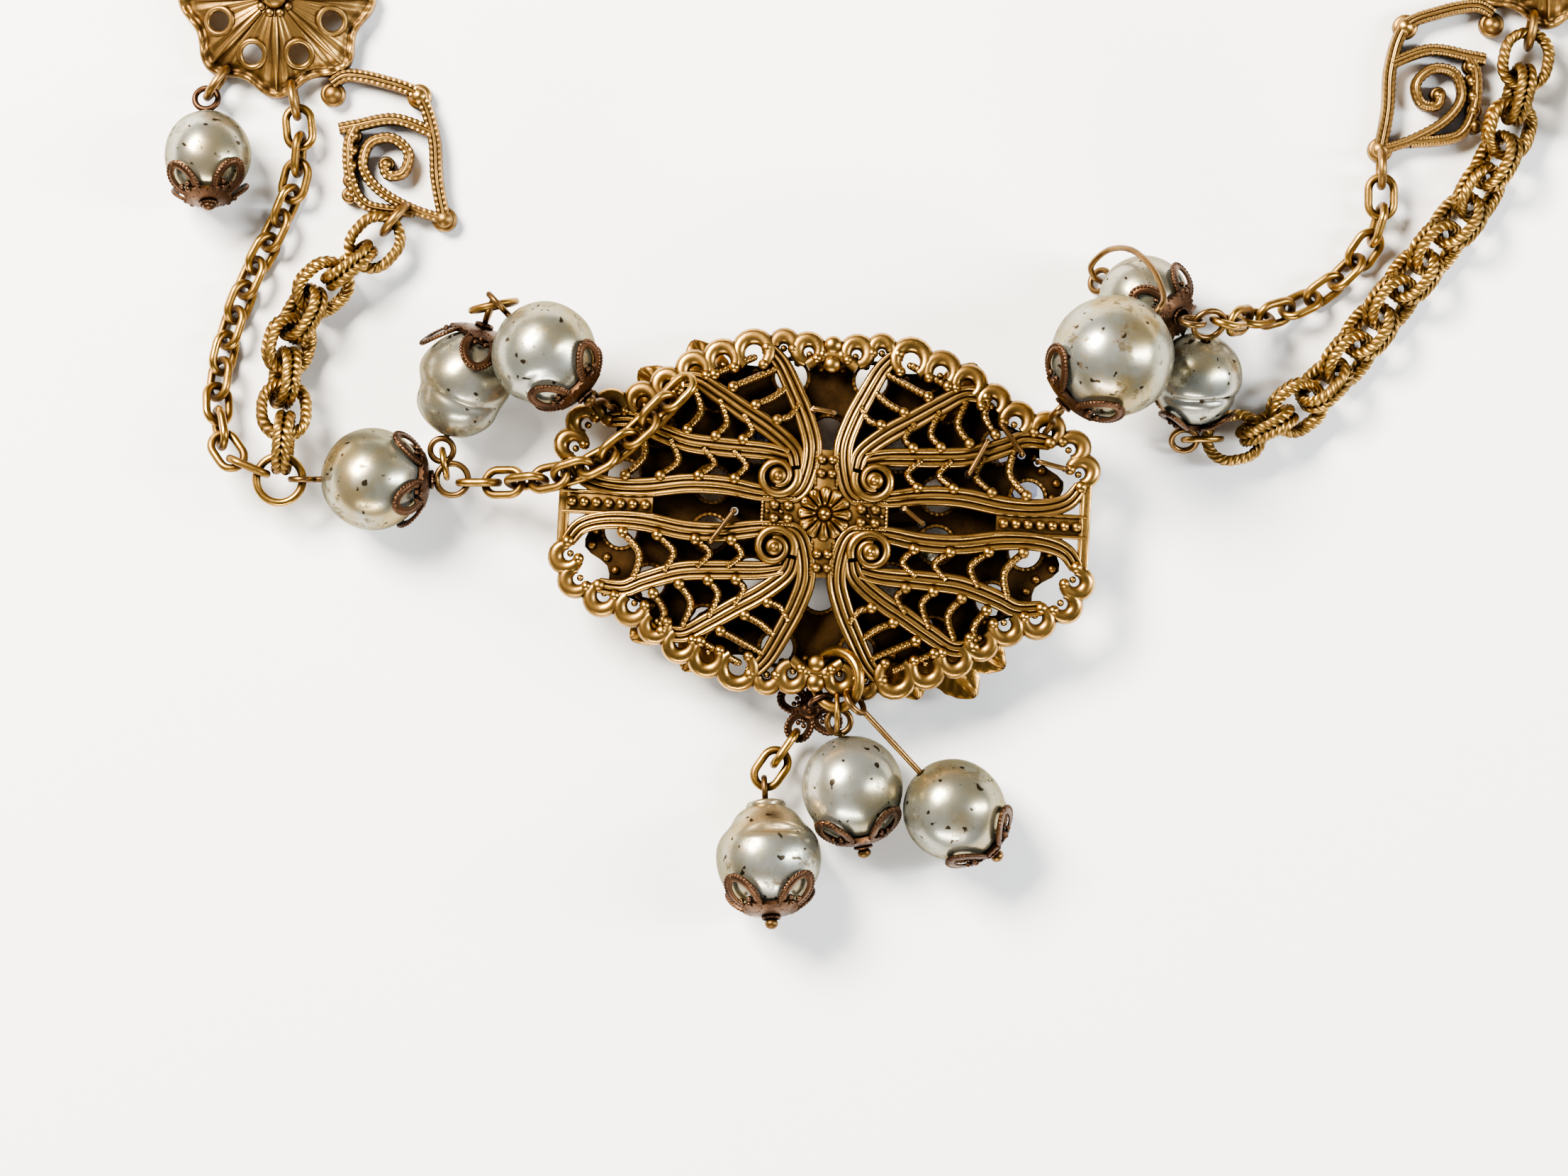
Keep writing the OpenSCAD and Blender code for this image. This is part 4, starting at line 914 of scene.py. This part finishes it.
def drops():
    """The ring through the plate's lower edge and the dark flower that hangs from it."""
    shape = Shape()
    mid, facing, r, wire = DROP_HOOK
    shape.wire(circle(mid, facing, r, 72), wire / 2, 14, facing, True)
    finish_piece("lower_ring", shape, ["drop_ring"], LINK_GOLD)

    shape = Shape()
    rows = [circle(FLOWER_AT + [0, 0, z], UP, r, 36)
            for r, z in ((0.05, 0.62), (0.5, 0.6), (0.8, 0.45), (0.98, 0.25), (0.98, 0), (0.05, 0))]
    shape.lattice(np.array(rows))
    shape.ball(FLOWER_AT + [0, 0, 0.6], 0.42, 8, 12)
    for k in range(4):
        ph = FLOWER_TURN + k * math.pi / 2
        out = np.array([math.cos(ph) * math.cos(PETAL_SINK), math.sin(ph) * math.cos(PETAL_SINK),
                        -math.sin(PETAL_SINK)])
        side = np.array([-math.sin(ph), math.cos(ph), 0])
        up = np.cross(out, side)
        base = FLOWER_AT + out * 1.9 + up * 0.3
        line = link_line(*FLOWER_PETAL, PETAL_WIRE)
        loop = base + line[:, :1] * out + line[:, 1:] * side
        shape.milled(loop, PETAL_WIRE / 2, 0.36, 6, up, True)
        line = link_line(FLOWER_PETAL[0] - 0.5, FLOWER_PETAL[1] - 0.5, PETAL_WIRE)
        loop = even(base + line[:, :1] * out + line[:, 1:] * side, 0.15, True)
        shape.sweep(loop, [(-0.30, -0.12), (0.30, -0.12), (0.28, 0.12), (-0.28, 0.12)], up, True)
        for along, across in ((-0.75, 0), (-0.35, -0.3), (-0.35, 0.3)):
            shape.ball(base + along * out + across * side + up * 0.05, 0.27, 6, 10)
    shape.wire(circle(FLOWER_EYE, EYE_WAY, 1.05), PETAL_WIRE / 2, 10, EYE_WAY, True)
    shape.wire(np.array([FLOWER_AT + [0, 0, 0.2], FLOWER_AT + [0.3, 0.25, 0.9],
                         FLOWER_EYE - [0.35, 0.3, 0.95]]), PETAL_WIRE / 2, 10)
    finish_piece("filigree_flower", shape, ["drop_flower"], COPPER)


# Stations
FLOWER_MID, FLOWER_R, FLOWER_RISE, FLOWER_THICK = (-11.8, 20.6), 9.6, 3.2, 1.0
WINDOWS_AT, WINDOW_R = 0.6, 1.2  # as a part of the flower's radius, and in millimetres
SCROLL = [(4.1, -0.3), (1.2, 0.6), (-2, 2.4), (-3.6, 4.6), (-3, 6.9), (-0.9, 7.4), (0.7, 6),
          (0.2, 4.1), (-1.3, 3.9), (-1.6, 5)]
EDGE = [(4.1, -0.3), (3.4, 3.4), (3.1, 7.6), (1.7, 11.4), (-1.6, 12.8), (-5, 13.4), (-6.6, 12.6)]
BAND = [(3.1, 7.9), (-0.6, 9.2), (-4.3, 8.6), (-5.9, 8.3)]
SIDE_LINE = [(1.2, 0.4), (-3.2, 1), (-4.8, 3.6), (-5, 6.8), (-4.3, 8.6)]
SCROLL_LOW, SCROLL_H = 0.15, 1.6
SCROLL_SECTION = [(-0.5, 0), (0.5, 0), (0.52, 0.6), (0.38, 0.92), (0, 1), (-0.38, 0.92), (-0.52, 0.6)]
# Middle and radius of each knob, the angles of the flower's lugs, and the scroll's lug of the
# left and of the right station
KNOBS = [(4.1, -0.3, 1.2), (1.7, 11.4, 1.2), (-1.4, 4.9, 0.8), (-6.5, 11.6, 1.2)]
KNOBS += [(-4.9 + 0.1 * k, 2 + 1.4 * k, 0.8) for k in range(5)]
FLOWER_LUGS = [-80, 105, -125]
SCROLL_LUGS = [(-0.6, -0.4, 50), (4.1, -2.2, 90)]
LUG_R, LUG_WIRE = 1.65, 0.8
LUG_Z = LUG_R + LUG_WIRE / 2 + 0.3


def flower_dish(shape, put):
    """Pressed eight-petalled flower, pierced by a round window between each two petals."""
    rows, sides = 44, 192
    ball_r = (FLOWER_R ** 2 + FLOWER_RISE ** 2) / 2 / FLOWER_RISE
    rise = lambda q2: FLOWER_RISE + FLOWER_THICK - ball_r + np.sqrt(ball_r ** 2 - q2)
    a = around(sides)[None]
    s = np.linspace(0.02, 1, rows)[:, None]
    r = s * FLOWER_R * (0.92 + 0.06 * np.cos(8 * a))
    crown = rise(r ** 2)
    petal = np.abs(np.cos(4 * a)) ** 0.8
    relief = s * (0.55 * petal - 0.3) + 0.16 * s * np.cos(40 * a) * petal
    relief += 0.35 * np.exp(-((s - 0.97) / 0.03) ** 2) - 0.25 * np.exp(-((s - 0.9) / 0.04) ** 2)
    plane = arc(*FLOWER_MID, r.reshape(-1), np.tile(a[0], rows))
    top = put(plane, (crown + relief).reshape(-1))
    low = put(plane, (crown - FLOWER_THICK * 0.8).reshape(-1))
    mid_r = (r[:-1] + r[1:]) / 2
    mid_a = a + math.pi / sides
    off = (mid_a + math.pi / 8) % (math.pi / 4) - math.pi / 8
    off = math.pi / 8 - np.abs(off)
    gap2 = (mid_r * np.cos(off) - FLOWER_R * WINDOWS_AT) ** 2 + (mid_r * np.sin(off)) ** 2
    keep = gap2 > WINDOW_R ** 2
    base = rows * sides
    faces = []
    for i in range(rows - 1):
        for j in range(sides):
            if not keep[i, j]:
                continue
            k = (j + 1) % sides
            p, q, u, v = i * sides + j, i * sides + k, (i + 1) * sides + k, (i + 1) * sides + j
            faces += [(p, q, u, v), (base + p, base + v, base + u, base + q)]
            if i == 0 or not keep[i - 1, j]:
                faces.append((q, p, base + p, base + q))
            if i == rows - 2 or not keep[i + 1, j]:
                faces.append((v, u, base + u, base + v))
            if not keep[i, j - 1]:
                faces.append((p, v, base + v, base + p))
            if not keep[i, k]:
                faces.append((u, q, base + q, base + u))
    shape.add(np.vstack([top, low]), faces)
    turns = around(8) + math.pi / 8
    for turn, spot in zip(turns, arc(*FLOWER_MID, FLOWER_R * WINDOWS_AT, turns)):
        line = arc(*spot, WINDOW_R + 0.02, turn + around(36))
        shape.wire(put(line, rise(((line - FLOWER_MID) ** 2).sum(1))), 0.3, 8, UP, True)
    for a in around(8):
        q = np.linspace(1.9, FLOWER_R * 0.9, 20)
        line = arc(*FLOWER_MID, q, a)
        grow = 0.4 + 0.6 * np.sin(np.linspace(0.15, 1, 20) * math.pi)
        shape.wire(put(line, rise(q ** 2) + 0.25 * q / FLOWER_R), 0.38, 8, UP, grow=grow[:, None])
    for r0, z, size, count in ((0, 0.25, 1.15, 1), (1.55, 0.05, 0.42, 10)):
        for a in around(count):
            shape.ball(put(arc(*FLOWER_MID, r0, a), rise(r0 ** 2) + z)[0], size, 10, 14, 0.7)


def station(side):
    """One station: flower, scroll and lugs, then its pearl in its cap."""
    name = ("left", "right")[side]
    ox, oy, mirror = STATION_ENDS[side]
    put = lambda p, z: np.column_stack([ox + mirror * np.asarray(p, float)[:, 0],
                                        oy + np.asarray(p, float)[:, 1],
                                        np.broadcast_to(z, len(p))])
    shape = Shape()
    flower_dish(shape, put)
    for line, w in ((SCROLL, 0.9), (EDGE, 1.2), (BAND, 1.1), (SIDE_LINE, 1.0)):
        path = even(smooth(line, 8), 0.3)
        t = tangents(path, False)
        across = np.column_stack([-t[:, 1], t[:, 0]])
        section = np.array(SCROLL_SECTION) * [w, SCROLL_H]
        shape.sweep(put(path, SCROLL_LOW), section)
        for way in (-1, 1):
            shape.milled(put(path + across * w * 0.3 * way, SCROLL_LOW + SCROLL_H - 0.02), 0.27, 0.55)
        shape.wire(put(path, SCROLL_LOW + SCROLL_H + 0.1), 0.2, 8, UP)
    for x, y, r in KNOBS:
        rows = [put(arc(x, y, q, around(20)), SCROLL_LOW + z)
                for q, z in ((0.05, 0), (r, 0), (r, 1.1), (r * 0.9, 1.3), (r * 0.72, 1.35),
                             (r * 0.66, 1.6), (r * 0.45, 1.85), (0.05, 2.0))]
        shape.lattice(np.array(rows))
    spots = arc(*FLOWER_MID, FLOWER_R + 0.2, np.radians(FLOWER_LUGS))
    for x, y, a in [(*spot, a) for spot, a in zip(spots, FLOWER_LUGS)] + [SCROLL_LUGS[side]]:
        way = (mirror * math.sin(math.radians(a)), -math.cos(math.radians(a)), 0)
        shape.wire(circle(put([(x, y)], LUG_Z)[0], way, LUG_R), LUG_WIRE / 2, 12, way, True)
    finish_piece("flower_station_" + name, shape, ["station_" + name], STATION_GOLD)

    gem, axis, form = STATION_GEM
    centre = (ox + mirror * gem[0], oy + gem[1], gem[2])
    way = (mirror * axis[0], axis[1], axis[2])
    shape = Shape()
    pearl(shape, centre, way, form, 56, 40, 20 + side)
    finish_piece("nacre_station_" + name, shape, ["station_pearl_" + name], PEARL[side], 80)
    shape = Shape()
    reach = form[0] * form[1]
    cap(shape, centre, way, reach, 45)
    d = unit(way)
    head, eye = centre + d * (reach + STATION_HEAD), centre - d * (reach + STATION_EYE)
    shape.wire(np.array([eye + d * EYE_R, head]), PIN_WIRE / 2, 10)
    shape.ball(head, HEAD_R, 8, 12, 0.8, d)
    normal = unit(np.cross(np.cross(d, UP), d))
    shape.wire(circle(eye, normal, EYE_R), PIN_WIRE / 2, 10, normal, True)
    finish_piece("filigree_station_" + name, shape, ["station_cap_" + name], COPPER)


CLASP_WIRE, CLASP_Z, CLASP_Y = 1.2, 2.7, 118.6
HOOK_EYE, END_RING = (3.4, 2), (11.5, 3)  # place and radius
CLASP_LINE = [(5, 0, 0), (6.2, 0, 0.5), (7.3, 0, 1.3), (8.5, 0, 1.45), (9.6, 0, 1), (10, 0, 0),
              (9.6, 0, -1), (8.6, 0, -1.5), (7.6, 0, -1.4)]


def clasp():
    at = np.array([0, CLASP_Y, CLASP_Z])
    shape = Shape()
    shape.wire(smooth(CLASP_LINE, 6) + at, CLASP_WIRE / 2, 12, (0, 1, 0))
    shape.ball(np.array(CLASP_LINE[-1]) + at, 0.7, 9, 14)
    x, r = HOOK_EYE
    shape.wire(circle(at + [x, 0, 0], UP, r), CLASP_WIRE / 2, 12, UP, True)
    finish_piece("hook", shape, ["clasp_hook"], LINK_GOLD)
    shape = Shape()
    x, r = END_RING
    shape.wire(circle(at + [x, 0, 0], UP, r, 56), CLASP_WIRE / 2, 12, UP, True)
    finish_piece("end_ring", shape, ["clasp_ring"], LINK_GOLD)


back_plate()
front_trim()
front_cluster()
pearls_and_caps()
chains()
drops()
for side in (0, 1):
    station(side)
clasp()

# The CAD nodes that are shown as they are; every node has a material
SHOWN = {"front_plate": SHADED_FRONT_GOLD} | {f"blue_stone_{k}": BLUE for k in (1, 2, 3)}
for name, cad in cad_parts.items():
    cad.data.materials.clear()
    cad.data.materials.append(SHOWN.get(name, GOLD))

# Floor, light and camera
FLOOR_HALF = 3.0  # metres
floor_mesh = bpy.data.meshes.new("floor")
floor_mesh.from_pydata([(x * FLOOR_HALF, y * FLOOR_HALF, 0)
                        for x, y in ((-1, -1), (1, -1), (1, 1), (-1, 1))], [], [(0, 1, 2, 3)])
floor = add_object("floor", floor_mesh)
FLOOR, floor_tree, floor_shader = new_material("pale_floor")
floor_tree.links.new(mix(floor_tree, noise(floor_tree, 40, 3), (0.89, 0.89, 0.88, 1),
                         (0.91, 0.91, 0.90, 1)), floor_shader.inputs["Base Color"])
floor_shader.inputs["Roughness"].default_value = 0.7
floor_mesh.materials.append(FLOOR)
bpy.context.scene.view_settings.look = "AgX - Medium High Contrast"

world = bpy.data.worlds.new("studio")
bpy.context.scene.world = world
world.use_nodes = True
sky = world.node_tree.nodes["Background"]
sky.inputs["Color"].default_value = (0.85, 0.92, 1.0, 1)
sky.inputs["Strength"].default_value = 0.16
# Place, size, power and colour of each soft light, in metres and watts
LIGHTS = [
    ((-0.30, 0.30, 0.44), (0.26, 0.20), 16.0, (1.0, 0.92, 0.82)),
    ((0.46, 0.02, 0.30), (0.08, 0.34), 4.5, (0.90, 0.95, 1.0)),
    ((-0.05, -0.50, 0.26), (0.40, 0.07), 3.0, (1.0, 0.96, 0.90)),
]
AIM = np.array([-0.012, -0.045, 0.0])
for k, (place, size, power, tint) in enumerate(LIGHTS):
    data = bpy.data.lights.new(f"soft_{k}", "AREA")
    data.shape = "RECTANGLE"
    data.size, data.size_y = size
    data.energy = power
    data.color = tint
    lamp = add_object(f"soft_{k}", data)
    lamp.location = np.array(place) + AIM
    lamp.rotation_euler = Vector(-np.array(place)).to_track_quat("-Z", "Y").to_euler()

# The photo's size, scale and the place of the rosette in it, in pixels, then the height in
# millimetres at which the scale holds and the camera's height over it
PHOTO_PX = (2212, 1659)
PX_PER_MM = 15.0
ROSETTE_PX = (1163, 725)
LEVEL, RISE = 8.0, 600.0
SENSOR_MM = 36
look = np.array([(PHOTO_PX[0] / 2 - ROSETTE_PX[0]) / PX_PER_MM,
                 (ROSETTE_PX[1] - PHOTO_PX[1] / 2) / PX_PER_MM, LEVEL])
camera_data = bpy.data.cameras.new("camera")
camera_data.sensor_width = SENSOR_MM
camera_data.lens = SENSOR_MM * RISE / (PHOTO_PX[0] / PX_PER_MM)
camera_data.clip_start, camera_data.clip_end = 0.01, 10
camera = add_object("camera", camera_data)
camera.location = (look + [0, 0, RISE] - MIDDLE) * MM
camera.rotation_euler = (0, 0, 0)
bpy.context.scene.camera = camera
